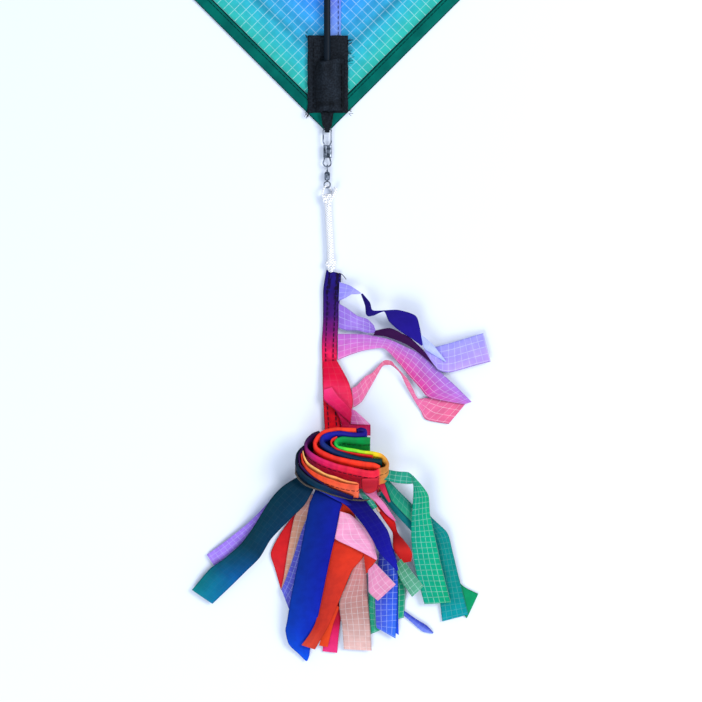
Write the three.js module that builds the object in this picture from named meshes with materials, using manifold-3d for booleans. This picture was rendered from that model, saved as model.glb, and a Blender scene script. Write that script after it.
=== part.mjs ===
// A diamond kite lying face down, with its clip-on fringe tail laid out below the tail corner.
//
// Millimetres, +Z up. The origin is on the surface that the kite lies on, under the crossing of the spine
// and the spreaders. +Y points to the nose and the tail runs towards -Y. The sail's back, which carries the
// spars, faces up. Pieces that touch on the real kite are drawn a small GAP apart.
import * as THREE from "three";
import { mergeVertices } from "three/addons/utils/BufferGeometryUtils.js";
import Module from "manifold-3d";

const wasm = await Module();
wasm.setup();

// Sail
const HALF_SPAN = 457;
const NOSE_Y = 229;
const TAIL_Y = -HALF_SPAN; // the two lower edges meet at a right angle
const SAIL_THICKNESS = 0.5;
const HEM_WIDTH = 8;
const HEM_THICKNESS = 0.5;
const SEAM_X = 7; // where the left and right panels are joined
const SEAM_WIDTH = 6.5;
const SEAM_OVERLAP = 1.4; // how far the seam's strip runs past the join
const SEAM_THICKNESS = 0.3;
const GAP = 0.3; // kept between neighbours
const MITRE_GAP = 0.3; // how far each hem stops short of a corner's mitre line

// Corner reinforcements and spars
const PATCH_WIDTH = 25;
const PATCH_THICKNESS = 0.8;
const PATCH_START = 12.2; // distances from the corner's tip
const PATCH_END = 59.2;
const POCKET_WIDTH = 17;
const POCKET_THICKNESS = 0.8;
const POCKET_START = 12.8;
const POCKET_END = 44.5;
const TAIL_POCKET_OFFSET = 1.8; // the tail pocket is sewn a little off the spine
const ROD_RADIUS = 2;
const HEM_Z = SAIL_THICKNESS + GAP;
const PATCH_Z = HEM_Z + HEM_THICKNESS + GAP;
const POCKET_Z = PATCH_Z + PATCH_THICKNESS + GAP;
const ROD_Z = POCKET_Z + ROD_RADIUS;
const ROD_END = POCKET_START + POCKET_THICKNESS + GAP;

// Centre fitting and bridle points
const FITTING_ARM = 26;
const FITTING_RADIUS = 3.2;
const SOCKET_BOTTOM = 4;
const BRIDLE_PATCH_RADIUS = 14;
const BRIDLE_HOLE_RADIUS = 1.5;
const BRIDLE_HOLE_X = 4;
const BRIDLE_POINTS = { upper: 105, lower: -190 };
const BRIDLE_PATCH_Z = HEM_Z + SEAM_THICKNESS + GAP;

// Tail line: ribbon tab, snap, swivel, link cord. Its pieces all lie at the height of the ribbon's loop.
const TAB_START = 11.9; // distance from the corner's tip
const TAB_WIDTH = 6.1;
const TAB_THICKNESS = 0.5;
const TAB_GATHER = 0.39; // share of the width lost at the fold
const LOOP_RADIUS = 1.3;
const LOOP_Y = TAIL_Y + 2.5;
const LOOP_Z = PATCH_Z + LOOP_RADIUS;
const WIRE_RADIUS = 0.4;
const SNAP_EYE_Y = -20.9; // measured down the line from the ribbon's loop, like the numbers below
const SNAP_EYE_RADIUS = 2.4;
const COLLAR_TOP = -10.1;
const COLLAR_LENGTH = 7.7;
const COLLAR_HALF_WIDTH = 2.7;
const COLLAR_HALF_DEPTH = 1.1;
const COLLAR_WALL = 0.4;
const EYE_WIRE_RADIUS = 0.35;
const HEAD_EYE_RADIUS = 1.55;
const HEAD_EYE_Y = -23.8;
const BARREL_TOP = -26.4;
const BARREL_LENGTH = 5.2;
const BARREL_RADIUS = 1.8;
const BARREL_WALL = 0.6;
const SHANK_RADIUS = 0.4; // of each eye's shank, which ends in a head inside the barrel
const SHANK_HEAD_RADIUS = 0.9;
const SHANK_HEAD_LENGTH = 0.6;
const SHANK_HEAD_INSET = 1.3; // from the barrel's end to the head's middle
const TAIL_EYE_RADIUS = 1.9;
const TAIL_EYE_Y = -34.2;
const CORD_RADIUS = 2.1;
const CORD_Z = 2.6;

// Fringe tail
const BAND_THICKNESS = 1.2;
const COIL_CENTRE = [9.6, -658];
const COIL_HALF_LENGTH = 27;
const COIL_HALF_DEPTH = 14.2;
const COIL_HEIGHT = 22;
const COIL_LEAN = 0.56; // how far the coil leans towards the kite for each millimetre of height
const COIL_FOOT_Y = -6; // the foot's centre, from the coil's
const ELASTIC_RADIUS = 0.6;
const ELASTIC_Z = 2.5;
const STREAMER_THICKNESS = 0.4;
const UPPER_LAYER_PITCH = 0.8;
const LOWER_LAYER_PITCH = { atCoil: 1.5, atTips: 0.72 };
const BUNDLE_REACH = 120; // from the coil's centre to the longest streamer's tip

const cloth = (colour) => new THREE.MeshStandardMaterial({ color: colour, roughness: 0.6, metalness: 0 });
const webbing = () => new THREE.MeshStandardMaterial({ color: 0x1c1f2b, roughness: 0.85, metalness: 0 });
const composite = () => new THREE.MeshStandardMaterial({ color: 0x232b35, roughness: 0.4, metalness: 0 });
const plastic = () => new THREE.MeshStandardMaterial({ color: 0x16181d, roughness: 0.55, metalness: 0 });
const nickel = () => new THREE.MeshStandardMaterial({ color: 0xbfc2c4, roughness: 0.25, metalness: 1 });
const braid = () => new THREE.MeshStandardMaterial({ color: 0xf2f4f6, roughness: 0.8, metalness: 0 });

const kite = new THREE.Group();

function add(parent, name, geometry, material) {
  const mesh = new THREE.Mesh(geometry, material);
  mesh.name = name;
  parent.add(mesh);
  return mesh;
}

// Solids for manifold-3d, which only joins and cuts.
function solidOf(geometry) {
  const bare = geometry.index ? geometry.toNonIndexed() : geometry.clone();
  bare.deleteAttribute("normal");
  bare.deleteAttribute("uv");
  const merged = mergeVertices(bare, 1e-4);
  const triVerts = new Uint32Array(merged.index.array);
  return new wasm.Manifold(
    new wasm.Mesh({ numProp: 3, vertProperties: merged.attributes.position.array, triVerts }),
  );
}

function geometryOf(solid) {
  const { vertProperties, triVerts } = solid.getMesh();
  const geometry = new THREE.BufferGeometry();
  geometry.setAttribute("position", new THREE.BufferAttribute(vertProperties, 3));
  geometry.setIndex(new THREE.BufferAttribute(triVerts, 1));
  geometry.computeVertexNormals();
  return geometry;
}

const join = (...geometries) => geometryOf(geometries.map(solidOf).reduce((a, b) => a.add(b)));
const cut = (geometry, ...tools) =>
  geometryOf(tools.map(solidOf).reduce((a, b) => a.subtract(b), solidOf(geometry)));

// Shapes used in many places
function polygon(points) {
  return new THREE.Shape(points.map(([x, y]) => new THREE.Vector2(x, y)));
}

function circle(x, y, radius, sides) {
  const turn = (i) => (2 * Math.PI * i) / sides;
  return Array.from({ length: sides }, (_, i) => [
    x + radius * Math.cos(turn(i)),
    y + radius * Math.sin(turn(i)),
  ]);
}

function plate(outline, thickness, z, holes = []) {
  const shape = polygon(outline);
  shape.holes = holes.map(polygon);
  return new THREE.ExtrudeGeometry(shape, { depth: thickness, bevelEnabled: false }).translate(0, 0, z);
}

// An extrusion that runs towards -Y, with the outline's y upright.
function runOf(shape, length) {
  return new THREE.ExtrudeGeometry(shape, { depth: length, bevelEnabled: false }).rotateX(Math.PI / 2);
}

function rodAlongY(radius, length, sides = 12) {
  return new THREE.CylinderGeometry(radius, radius, length, sides);
}

function rodAlongX(radius, length, sides = 12) {
  return rodAlongY(radius, length, sides).rotateZ(Math.PI / 2);
}

function tubeAlong(points, radius, sides, steps) {
  const path = new THREE.CatmullRomCurve3(
    points.map(([x, y, z = 0]) => new THREE.Vector3(x, y, z)),
    false,
    "centripetal",
  );
  const section = polygon(circle(0, 0, radius, sides));
  return new THREE.ExtrudeGeometry(section, { steps, extrudePath: path, bevelEnabled: false });
}

// A flat strip along a route of [x, y, width] places. height(y) is the level of its underside.
function strip(route, thickness, height) {
  const sections = route.map(([x, y, width], i) => {
    const [ax, ay] = route[Math.max(i - 1, 0)];
    const [bx, by] = route[Math.min(i + 1, route.length - 1)];
    const along = new THREE.Vector2(bx - ax, by - ay).normalize();
    const side = new THREE.Vector2(-along.y, along.x).multiplyScalar(width / 2);
    return [
      [x + side.x, y + side.y],
      [x - side.x, y - side.y],
    ];
  });
  const corners = sections.flatMap(([left, right]) =>
    [right, left, left, right].map(([x, y], corner) => [x, y, height(y) + (corner < 2 ? thickness : 0)]),
  );
  const faces = [0, 1, 2, 0, 2, 3];
  for (let start = 0; start + 4 < corners.length; start += 4) {
    for (let corner = 0; corner < 4; corner += 1) {
      const next = (corner + 1) % 4;
      faces.push(start + corner, start + 4 + corner, start + 4 + next);
      faces.push(start + corner, start + 4 + next, start + next);
    }
  }
  const end = corners.length - 4;
  faces.push(end, end + 2, end + 1, end, end + 3, end + 2);
  const geometry = new THREE.BufferGeometry();
  geometry.setAttribute("position", new THREE.Float32BufferAttribute(corners.flat(), 3));
  geometry.setIndex(faces);
  return geometry;
}

// Sail: two panels, a centre seam and four hems
const lowerEdge = (x) => TAIL_Y + Math.abs(x);
const upperEdge = (x) => NOSE_Y * (1 - Math.abs(x) / HALF_SPAN);

function bridleHoles(sides) {
  return Object.values(BRIDLE_POINTS).flatMap((y) =>
    sides.map((side) => circle(side * BRIDLE_HOLE_X, y, BRIDLE_HOLE_RADIUS, 8)),
  );
}

function leftPanel() {
  const x = SEAM_X - GAP / 2;
  const outline = [[0, NOSE_Y], [-HALF_SPAN, 0], [0, TAIL_Y], [x, lowerEdge(x)], [x, upperEdge(x)]];
  return plate(outline, SAIL_THICKNESS, 0, bridleHoles([-1, 1]));
}

function rightPanel() {
  const x = SEAM_X + GAP / 2;
  return plate([[x, lowerEdge(x)], [HALF_SPAN, 0], [x, upperEdge(x)]], SAIL_THICKNESS, 0);
}

function centreSeam() {
  const right = SEAM_X + SEAM_OVERLAP;
  const left = right - SEAM_WIDTH;
  const inset = HEM_WIDTH * Math.SQRT2 + 1;
  const top = upperEdge(right) - inset;
  const bottom = lowerEdge(right) + inset;
  const outline = [[left, bottom], [right, bottom], [right, top], [left, top]];
  return plate(outline, SEAM_THICKNESS, HEM_Z, bridleHoles([1]));
}

function hem(corners, index) {
  const at = (i) => new THREE.Vector2(...corners[(i + corners.length) % corners.length]);
  const inner = (i) => {
    const toPrevious = at(i - 1).sub(at(i)).normalize();
    const toNext = at(i + 1).sub(at(i)).normalize();
    const sine = Math.abs(toPrevious.cross(toNext));
    return at(i).add(toPrevious.add(toNext).multiplyScalar(HEM_WIDTH / sine));
  };
  const along = at(index + 1).sub(at(index)).normalize().multiplyScalar(MITRE_GAP);
  const start = [at(index), inner(index)].map((p) => p.add(along));
  const finish = [inner(index + 1), at(index + 1)].map((p) => p.sub(along));
  return plate([...start, ...finish].map((p) => [p.x, p.y]), HEM_THICKNESS, HEM_Z);
}

function addSail() {
  add(kite, "sail_left_panel", leftPanel(), cloth(0x3f8fe0));
  add(kite, "sail_right_panel", rightPanel(), cloth(0x3f8fe0));
  add(kite, "centre_seam", centreSeam(), cloth(0x6a7fe8));
  const corners = [[0, NOSE_Y], [-HALF_SPAN, 0], [0, TAIL_Y], [HALF_SPAN, 0]];
  ["hem_upper_left", "hem_lower_left", "hem_lower_right", "hem_upper_right"].forEach((name, i) => {
    add(kite, name, hem(corners, i), cloth(0x006b6a));
  });
}

// Corner reinforcements, drawn with the corner's tip at the origin and the sail towards +Y.
// narrowSide is the side, -1 or 1 along X, where the sail's edge is too close for a square patch corner.
function patch(narrowSide) {
  const half = PATCH_WIDTH / 2;
  const edgeSlope = HALF_SPAN / NOSE_Y;
  const square = [[-half, PATCH_START], [half, PATCH_START], [half, PATCH_END], [-half, PATCH_END]];
  const trimmed = [
    [-half, PATCH_START],
    [PATCH_START / edgeSlope, PATCH_START],
    [half, half * edgeSlope],
    [half, PATCH_END],
    [-half, PATCH_END],
  ];
  const outline = narrowSide ? trimmed.map(([x, y]) => [narrowSide * x, y]) : square;
  return plate(narrowSide < 0 ? outline.reverse() : outline, PATCH_THICKNESS, PATCH_Z);
}

// A sleeve over the rod with a flat flange on each side, open towards the sail's middle.
function pocket(offset) {
  const inner = ROD_RADIUS + GAP;
  const outer = inner + POCKET_THICKNESS;
  const left = offset - POCKET_WIDTH / 2;
  const right = offset + POCKET_WIDTH / 2;
  const profile = new THREE.Shape();
  profile.moveTo(left, 0);
  profile.lineTo(-inner, 0);
  profile.lineTo(-inner, ROD_RADIUS);
  profile.absarc(0, ROD_RADIUS, inner, Math.PI, 0, true);
  profile.lineTo(inner, 0);
  profile.lineTo(right, 0);
  profile.lineTo(right, POCKET_THICKNESS);
  profile.lineTo(outer, POCKET_THICKNESS);
  profile.lineTo(outer, ROD_RADIUS);
  profile.absarc(0, ROD_RADIUS, outer, 0, Math.PI, false);
  profile.lineTo(-outer, POCKET_THICKNESS);
  profile.lineTo(left, POCKET_THICKNESS);
  const options = { depth: POCKET_END - POCKET_START, bevelEnabled: false, curveSegments: 8 };
  const sleeve = new THREE.ExtrudeGeometry(profile, options).rotateX(Math.PI / 2);
  const wall = new THREE.BoxGeometry(2 * outer - 0.1, POCKET_THICKNESS, ROD_RADIUS + inner);
  wall.translate(0, POCKET_START - POCKET_END + POCKET_THICKNESS / 2, (ROD_RADIUS + inner) / 2);
  return join(sleeve, wall).translate(0, POCKET_END, POCKET_Z);
}

function addCorner(name, x, y, turn, narrowSide, offset = 0) {
  const corner = new THREE.Group();
  corner.position.set(x, y, 0);
  corner.rotation.z = turn;
  add(corner, `${name}_patch`, patch(narrowSide), webbing());
  add(corner, `${name}_pocket`, pocket(offset), webbing());
  kite.add(corner);
}

// Spars and the fitting that joins them
function addSpars() {
  const spineTail = TAIL_Y + ROD_END;
  const spineNose = NOSE_Y - ROD_END;
  const spine = add(kite, "spine_rod", rodAlongY(ROD_RADIUS, spineNose - spineTail), composite());
  spine.position.set(0, (spineNose + spineTail) / 2, ROD_Z);

  const inner = SOCKET_BOTTOM + GAP;
  const outer = HALF_SPAN - ROD_END;
  for (const [name, side] of [["left_spreader_rod", -1], ["right_spreader_rod", 1]]) {
    const rod = add(kite, name, rodAlongX(ROD_RADIUS, outer - inner), composite());
    rod.position.set((side * (inner + outer)) / 2, 0, ROD_Z);
  }

  const bore = ROD_RADIUS + GAP;
  const socketLength = FITTING_ARM - SOCKET_BOTTOM + 1;
  const socket = (side) =>
    rodAlongX(bore, socketLength).translate(side * (SOCKET_BOTTOM + socketLength / 2), 0, 0);
  const cross = join(
    rodAlongX(FITTING_RADIUS, 2 * FITTING_ARM, 16),
    rodAlongY(FITTING_RADIUS + 0.2, FITTING_ARM, 16),
  );
  const fitting = cut(cross, rodAlongY(bore, 2 * FITTING_ARM), socket(-1), socket(1));
  add(kite, "centre_fitting", fitting, plastic()).position.z = ROD_Z;
}

function addBridlePatches() {
  for (const [name, y] of Object.entries(BRIDLE_POINTS)) {
    const outline = circle(0, y, BRIDLE_PATCH_RADIUS, 20);
    const holes = [-1, 1].map((side) => circle(side * BRIDLE_HOLE_X, y, BRIDLE_HOLE_RADIUS, 8));
    const disc = plate(outline, HEM_THICKNESS, BRIDLE_PATCH_Z, holes);
    add(kite, `bridle_patch_${name}`, disc, webbing());
  }
}

// A ribbon folded back on itself round the snap's wire, gathered narrow at the fold.
function tailTab() {
  const top = TAIL_Y + TAB_START;
  const length = top - LOOP_Y;
  const inner = LOOP_RADIUS - TAB_THICKNESS;
  const profile = new THREE.Shape();
  profile.moveTo(0, -LOOP_RADIUS);
  profile.lineTo(length, -LOOP_RADIUS);
  profile.absarc(length, 0, LOOP_RADIUS, -Math.PI / 2, Math.PI / 2, false);
  profile.lineTo(0, LOOP_RADIUS);
  profile.lineTo(0, inner);
  profile.lineTo(length, inner);
  profile.absarc(length, 0, inner, Math.PI / 2, -Math.PI / 2, true);
  profile.lineTo(0, -inner);
  const options = { depth: TAB_WIDTH, bevelEnabled: false, curveSegments: 8 };
  const ribbon = new THREE.ExtrudeGeometry(profile, options);
  const down = new THREE.Vector3(0, -1, 0);
  const up = new THREE.Vector3(0, 0, 1);
  const left = new THREE.Vector3(-1, 0, 0);
  ribbon.applyMatrix4(new THREE.Matrix4().makeBasis(down, up, left));
  ribbon.translate(TAB_WIDTH / 2, top, LOOP_Z);
  const position = ribbon.attributes.position;
  for (let i = 0; i < position.count; i += 1) {
    const run = Math.min((top - position.getY(i)) / length, 1);
    position.setX(i, position.getX(i) * (1 - TAB_GATHER * run));
  }
  return ribbon;
}

// Snap: one bent wire, the gate that springs open from it, and a folded collar
function snapWire() {
  const eye = [35, 15, -5, -25, -45, -68, -90, -112, -135, -155, -175, 165, 145].map((degrees) => {
    const angle = THREE.MathUtils.degToRad(degrees);
    return [SNAP_EYE_RADIUS * Math.cos(angle), SNAP_EYE_Y + SNAP_EYE_RADIUS * Math.sin(angle)];
  });
  const start = [[1.6, -15.2], [1.6, -17.6]];
  const shank = [[-1.6, -17.6], [-1.6, -14], [-1.6, -10], [-2.4, -8], [-2.4, -4], [-2.4, -1.4]];
  const bend = [[-1.9, -0.35], [-1.1, 0], [0, 0], [1.2, 0]];
  return tubeAlong([...start, ...eye, ...shank, ...bend], WIRE_RADIUS, 8, 60);
}

function snapGate() {
  const route = [[1.6, 0], [2.25, -0.5], [2.45, -1.6], [2.45, -8], [1.7, -10], [1.6, -11.6]];
  return tubeAlong(route, WIRE_RADIUS, 8, 18);
}

function rectangle(halfWidth, halfHeight) {
  return polygon([
    [-halfWidth, -halfHeight],
    [halfWidth, -halfHeight],
    [halfWidth, halfHeight],
    [-halfWidth, halfHeight],
  ]);
}

// A rectangular sleeve, notched where the gate springs in and out.
function snapCollar() {
  const outline = rectangle(COLLAR_HALF_WIDTH, COLLAR_HALF_DEPTH);
  outline.holes = [rectangle(COLLAR_HALF_WIDTH - COLLAR_WALL, COLLAR_HALF_DEPTH - COLLAR_WALL)];
  const collar = runOf(outline, COLLAR_LENGTH).translate(0, COLLAR_TOP, 0);
  const notchWidth = 2.4;
  const notchLength = 4.6;
  const notch = new THREE.BoxGeometry(notchWidth, notchLength, 2 * (COLLAR_HALF_DEPTH - COLLAR_WALL));
  notch.translate(COLLAR_HALF_WIDTH - notchWidth / 4, COLLAR_TOP, 0);
  return cut(collar, notch);
}

// Swivel: an eye at each end, whose headed shanks turn inside the barrel
function swivelEye(eyeRadius, eyeY, headY, upright) {
  const eye = new THREE.TorusGeometry(eyeRadius, EYE_WIRE_RADIUS, 8, 20);
  if (upright) {
    eye.rotateY(Math.PI / 2);
  }
  const towardsHead = Math.sign(headY - eyeY);
  const shankStart = eyeY + towardsHead * eyeRadius;
  const shank = rodAlongY(SHANK_RADIUS, Math.abs(headY - shankStart), 10);
  shank.translate(0, (headY + shankStart) / 2, 0);
  const head = rodAlongY(SHANK_HEAD_RADIUS, SHANK_HEAD_LENGTH).translate(0, headY, 0);
  return join(eye.translate(0, eyeY, 0), shank, head);
}

function swivelBarrel() {
  const bore = SHANK_RADIUS + 0.35;
  const cavity = SHANK_HEAD_RADIUS + 0.35;
  const neck = 1.2;
  const shoulder = 0.9;
  const end = BARREL_LENGTH;
  const profile = [
    [bore, 0],
    [neck, 0],
    [BARREL_RADIUS, shoulder],
    [BARREL_RADIUS, end - shoulder],
    [neck, end],
    [bore, end],
    [bore, end - BARREL_WALL],
    [cavity, end - BARREL_WALL],
    [cavity, BARREL_WALL],
    [bore, BARREL_WALL],
    [bore, 0],
  ].map(([radius, y]) => new THREE.Vector2(radius, y));
  return new THREE.LatheGeometry(profile, 16).translate(0, BARREL_TOP - end, 0);
}

function ellipsoid(x, y, z, halfX, halfY, halfZ) {
  return new THREE.SphereGeometry(1, 14, 10).scale(halfX, halfY, halfZ).translate(x, y, z);
}

function addTailLine() {
  add(kite, "tail_tab", tailTab(), webbing());
  const line = new THREE.Group();
  line.position.set(0, LOOP_Y, LOOP_Z);
  add(line, "snap_wire", snapWire(), nickel());
  add(line, "snap_gate", snapGate(), nickel());
  add(line, "snap_collar", snapCollar(), nickel());
  const upperHead = BARREL_TOP - SHANK_HEAD_INSET;
  const lowerHead = BARREL_TOP - BARREL_LENGTH + SHANK_HEAD_INSET;
  add(line, "swivel_head_eye", swivelEye(HEAD_EYE_RADIUS, HEAD_EYE_Y, upperHead, true), nickel());
  add(line, "swivel_barrel", swivelBarrel(), nickel());
  add(line, "swivel_tail_eye", swivelEye(TAIL_EYE_RADIUS, TAIL_EYE_Y, lowerHead, false), nickel());
  kite.add(line);

  const cordLoop = new THREE.TorusGeometry(2.2, 0.6, 8, 20).rotateY(Math.PI / 2);
  cordLoop.translate(0, LOOP_Y + TAIL_EYE_Y - 2.8, LOOP_Z);
  const upperKnot = join(cordLoop, ellipsoid(0, LOOP_Y - 43.5, LOOP_Z - 0.3, 3.3, 4.6, 2.5));
  add(kite, "link_upper_knot", upperKnot, braid());
  const route = [
    [0.6, -502.9, CORD_Z],
    [1.0, -511, CORD_Z],
    [1.5, -520, CORD_Z],
    [1.9, -527, CORD_Z],
    [2.1, -533.1, CORD_Z],
  ];
  add(kite, "link_cord", tubeAlong(route, CORD_RADIUS, 8, 6), braid());
  add(kite, "link_lower_knot", ellipsoid(2.2, -537.5, 2.6, 3.9, 4, 2.4), braid());
}

// Fringe tail. Every strip is a route of [x, y, width]; layer 1 lies on the surface, and a higher layer
// lies over a lower one. The upper routes are measured from the band's top, the lower ones from the coil.
const BAND_ROUTE = [[3.8, -542.3, 9], [3, -580, 9.5], [2, -620, 9.8], [2.3, -649, 9.8]];
const BAND_TOP = [4, -542];

const UPPER_STREAMERS = [
  ["streamer_01_lavender", 4, [
    [6, -9, 9], [16, -20, 10], [35, -25, 9], [52, -34, 10], [65, -48, 13], [92, -45, 17],
  ]],
  ["streamer_02_plum", 3, [[6, -20, 9], [18, -31, 11], [40, -39, 11], [58, -54, 9]]],
  ["streamer_03_pink", 2, [[6, -44, 15], [32, -45, 15], [55, -62, 16], [77, -85, 17]]],
  ["streamer_04_rose", 1, [
    [6, -76, 8], [18, -69, 7], [32, -57, 6], [43, -64, 6], [52, -79, 8], [68, -86, 11],
  ]],
  ["streamer_05_crimson", 4, [[-1, -58, 7], [0, -77, 9], [8, -86, 12], [17, -92, 12]]],
];

const LOWER_STREAMERS = [
  ["streamer_06_teal", 5, [
    [-26, -15, 13], [-34, -24, 15], [-47, -41, 15], [-57, -53, 15], [-69, -66, 16], [-85, -82, 15],
  ]],
  ["streamer_07_lilac", 4, [
    [-31, -18, 10], [-38, -26, 13], [-50, -40, 15], [-65, -53, 15], [-79, -62, 15],
  ]],
  ["streamer_08_red", 1, [[-24, -26, 11], [-33, -42, 15], [-35, -55, 17], [-32, -76, 14]]],
  ["streamer_09_peach", 2, [[-18, -26, 12], [-23, -41, 15], [-27, -60, 15], [-30, -78, 14]]],
  ["streamer_10_lavender", 3, [[-15, -25, 12], [-19, -41, 15], [-24, -60, 15], [-28, -80, 14]]],
  ["streamer_11_blue", 6, [
    [-9, -23, 16], [-13, -41, 18], [-18, -60, 18], [-23, -81, 18], [-26, -99, 17], [-25, -117, 11],
  ]],
  ["streamer_12_coral", 4, [
    [2, -31, 15], [0, -56, 17], [-4, -75, 14], [-12, -95, 10], [-20, -110, 8],
  ]],
  ["streamer_13_hot_pink", 2, [[-2, -86, 8], [-5, -100, 9], [-8, -115, 9]]],
  ["streamer_14_pink", 5, [
    [2, -24, 13], [7, -41, 15], [14, -54, 14], [20, -66, 14], [26, -78, 15],
  ]],
  ["streamer_15_beige", 3, [
    [5, -48, 14], [6, -69, 16], [7, -84, 16], [8, -100, 16], [9, -113, 16],
  ]],
  ["streamer_16_indigo", 7, [
    [8, -24, 12], [17, -34, 11], [22, -43, 10], [27, -54, 8], [32, -65, 4],
  ]],
  ["streamer_17_cobalt", 3, [[28, -60, 12], [27, -75, 13], [26, -90, 13], [26, -103, 12]]],
  ["streamer_18_mint", 1, [[17, -70, 12], [19, -86, 13], [21, -102, 12]]],
  ["streamer_19_jade", 2, [[30, -62, 9], [32, -78, 13], [33, -94, 12]]],
  ["streamer_20_scarlet", 5, [
    [21, -22, 4], [27, -33, 5], [32, -42, 3], [36, -52, 9], [38, -60, 8],
  ]],
  ["streamer_21_petrol", 3, [[27, -20, 6], [33, -28, 7], [43, -40, 7], [50, -52, 6]]],
  ["streamer_22_green", 6, [
    [31, -8, 6], [38, -10, 6], [44, -15, 8], [48, -26, 11], [49, -44, 15], [52, -66, 17], [58, -85, 16],
  ]],
  ["streamer_23_turquoise", 2, [
    [31, -14, 6], [40, -25, 9], [54, -42, 12], [63, -63, 12], [67, -83, 14], [69, -95, 16],
  ]],
  ["streamer_24_emerald", 1, [[52, -62, 12], [60, -74, 15], [69, -83, 16], [79, -88, 16]]],
  ["streamer_25_sage", 4, [[37, -62, 8], [41, -71, 10], [45, -78, 9]]],
  ["streamer_26_azure", 1, [[38, -92, 2], [46, -98, 5], [52, -103, 4]]],
];

const STREAMER_COLOURS = {
  lavender: 0x8a7be0, plum: 0x4a1c5e, pink: 0xf08fb8, rose: 0xf0709f, crimson: 0xd81848,
  teal: 0x0c4f6a, lilac: 0xa07de0, red: 0xd03040, peach: 0xd8a890, blue: 0x0c3fa8,
  coral: 0xe04838, hot_pink: 0xe83880, beige: 0xd8a8a0, indigo: 0x2420a0, cobalt: 0x4060d0,
  mint: 0x40b890, jade: 0x109070, scarlet: 0xc82028, petrol: 0x087078, green: 0x18a880,
  turquoise: 0x08909a, emerald: 0x08986a, sage: 0x60b090, azure: 0x5068d0,
};

function addStreamers(streamers, origin, pitch) {
  for (const [name, layer, route] of streamers) {
    const placed = route.map(([x, y, width]) => [origin[0] + x, origin[1] + y, width]);
    const height = (y) => (layer - 1) * pitch(y - origin[1]);
    const colour = STREAMER_COLOURS[name.slice("streamer_00_".length)];
    add(kite, name, strip(placed, STREAMER_THICKNESS, height), cloth(colour));
  }
}

function tailCoil() {
  const drum = new THREE.CylinderGeometry(0.95, 1, 1, 28).rotateX(Math.PI / 2);
  drum.scale(COIL_HALF_LENGTH, COIL_HALF_DEPTH, COIL_HEIGHT).translate(0, 0, COIL_HEIGHT / 2);
  const lean = new THREE.Matrix4().makeShear(0, 0, 0, 0, 0, COIL_LEAN);
  return drum.applyMatrix4(lean).translate(COIL_CENTRE[0], COIL_CENTRE[1] + COIL_FOOT_Y, 0);
}

// A round ring pressed out into an ellipse that stays clear of the coil's foot.
function elasticBand() {
  const ringRadius = 10;
  const ring = new THREE.TorusGeometry(ringRadius, ELASTIC_RADIUS, 8, 40);
  const clearance = GAP + ELASTIC_RADIUS + 0.2;
  const position = ring.attributes.position;
  for (let i = 0; i < position.count; i += 1) {
    const angle = Math.atan2(position.getY(i), position.getX(i));
    const proud = Math.hypot(position.getX(i), position.getY(i)) - ringRadius + clearance;
    position.setX(i, (COIL_HALF_LENGTH + proud) * Math.cos(angle));
    position.setY(i, (COIL_HALF_DEPTH + proud) * Math.sin(angle));
  }
  const centreY = COIL_CENTRE[1] + COIL_FOOT_Y + COIL_LEAN * ELASTIC_Z;
  return ring.translate(COIL_CENTRE[0], centreY, ELASTIC_Z);
}

function addTail() {
  add(kite, "tail_band", strip(BAND_ROUTE, BAND_THICKNESS, () => 0), cloth(0x8a1450));
  add(kite, "tail_band_coil", tailCoil(), cloth(0xd02840));
  add(kite, "elastic_band", elasticBand(), cloth(0x2a2420));
  addStreamers(UPPER_STREAMERS, BAND_TOP, () => UPPER_LAYER_PITCH);
  const { atCoil, atTips } = LOWER_LAYER_PITCH;
  const pitch = (y) => atTips + ((atCoil - atTips) * (y + BUNDLE_REACH)) / BUNDLE_REACH;
  addStreamers(LOWER_STREAMERS, COIL_CENTRE, pitch);
}

addSail();
addCorner("nose", 0, NOSE_Y, Math.PI, 0);
addCorner("left_wing", -HALF_SPAN, 0, -Math.PI / 2, -1);
addCorner("right_wing", HALF_SPAN, 0, Math.PI / 2, 1);
addCorner("tail", 0, TAIL_Y, 0, 0, TAIL_POCKET_OFFSET);
addSpars();
addBridlePatches();
addTailLine();
addTail();

export default kite;
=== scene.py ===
"""The looks of a diamond kite that lies face down with its clip-on fringe tail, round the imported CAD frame.

Lengths are in millimetres until a mesh is made. The origin is on the surface, under the crossing of the
spine and the spreaders. +Y points to the nose and +Z up.
"""

import functools
import math
import random

import bpy
from mathutils import Matrix, Vector, noise


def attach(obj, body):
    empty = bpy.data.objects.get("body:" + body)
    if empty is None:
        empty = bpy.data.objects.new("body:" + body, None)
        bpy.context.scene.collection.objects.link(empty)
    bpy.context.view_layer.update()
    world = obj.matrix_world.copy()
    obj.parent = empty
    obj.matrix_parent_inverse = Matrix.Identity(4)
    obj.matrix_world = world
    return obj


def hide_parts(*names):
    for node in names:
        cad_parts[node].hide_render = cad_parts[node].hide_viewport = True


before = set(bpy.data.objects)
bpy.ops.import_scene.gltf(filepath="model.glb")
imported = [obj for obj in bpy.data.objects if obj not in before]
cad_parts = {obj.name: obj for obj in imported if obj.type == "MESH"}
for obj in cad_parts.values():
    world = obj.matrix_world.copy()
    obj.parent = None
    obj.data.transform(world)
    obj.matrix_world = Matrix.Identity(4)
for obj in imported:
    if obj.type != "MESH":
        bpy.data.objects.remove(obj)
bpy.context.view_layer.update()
scene = bpy.context.scene

MM = 0.001

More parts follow.
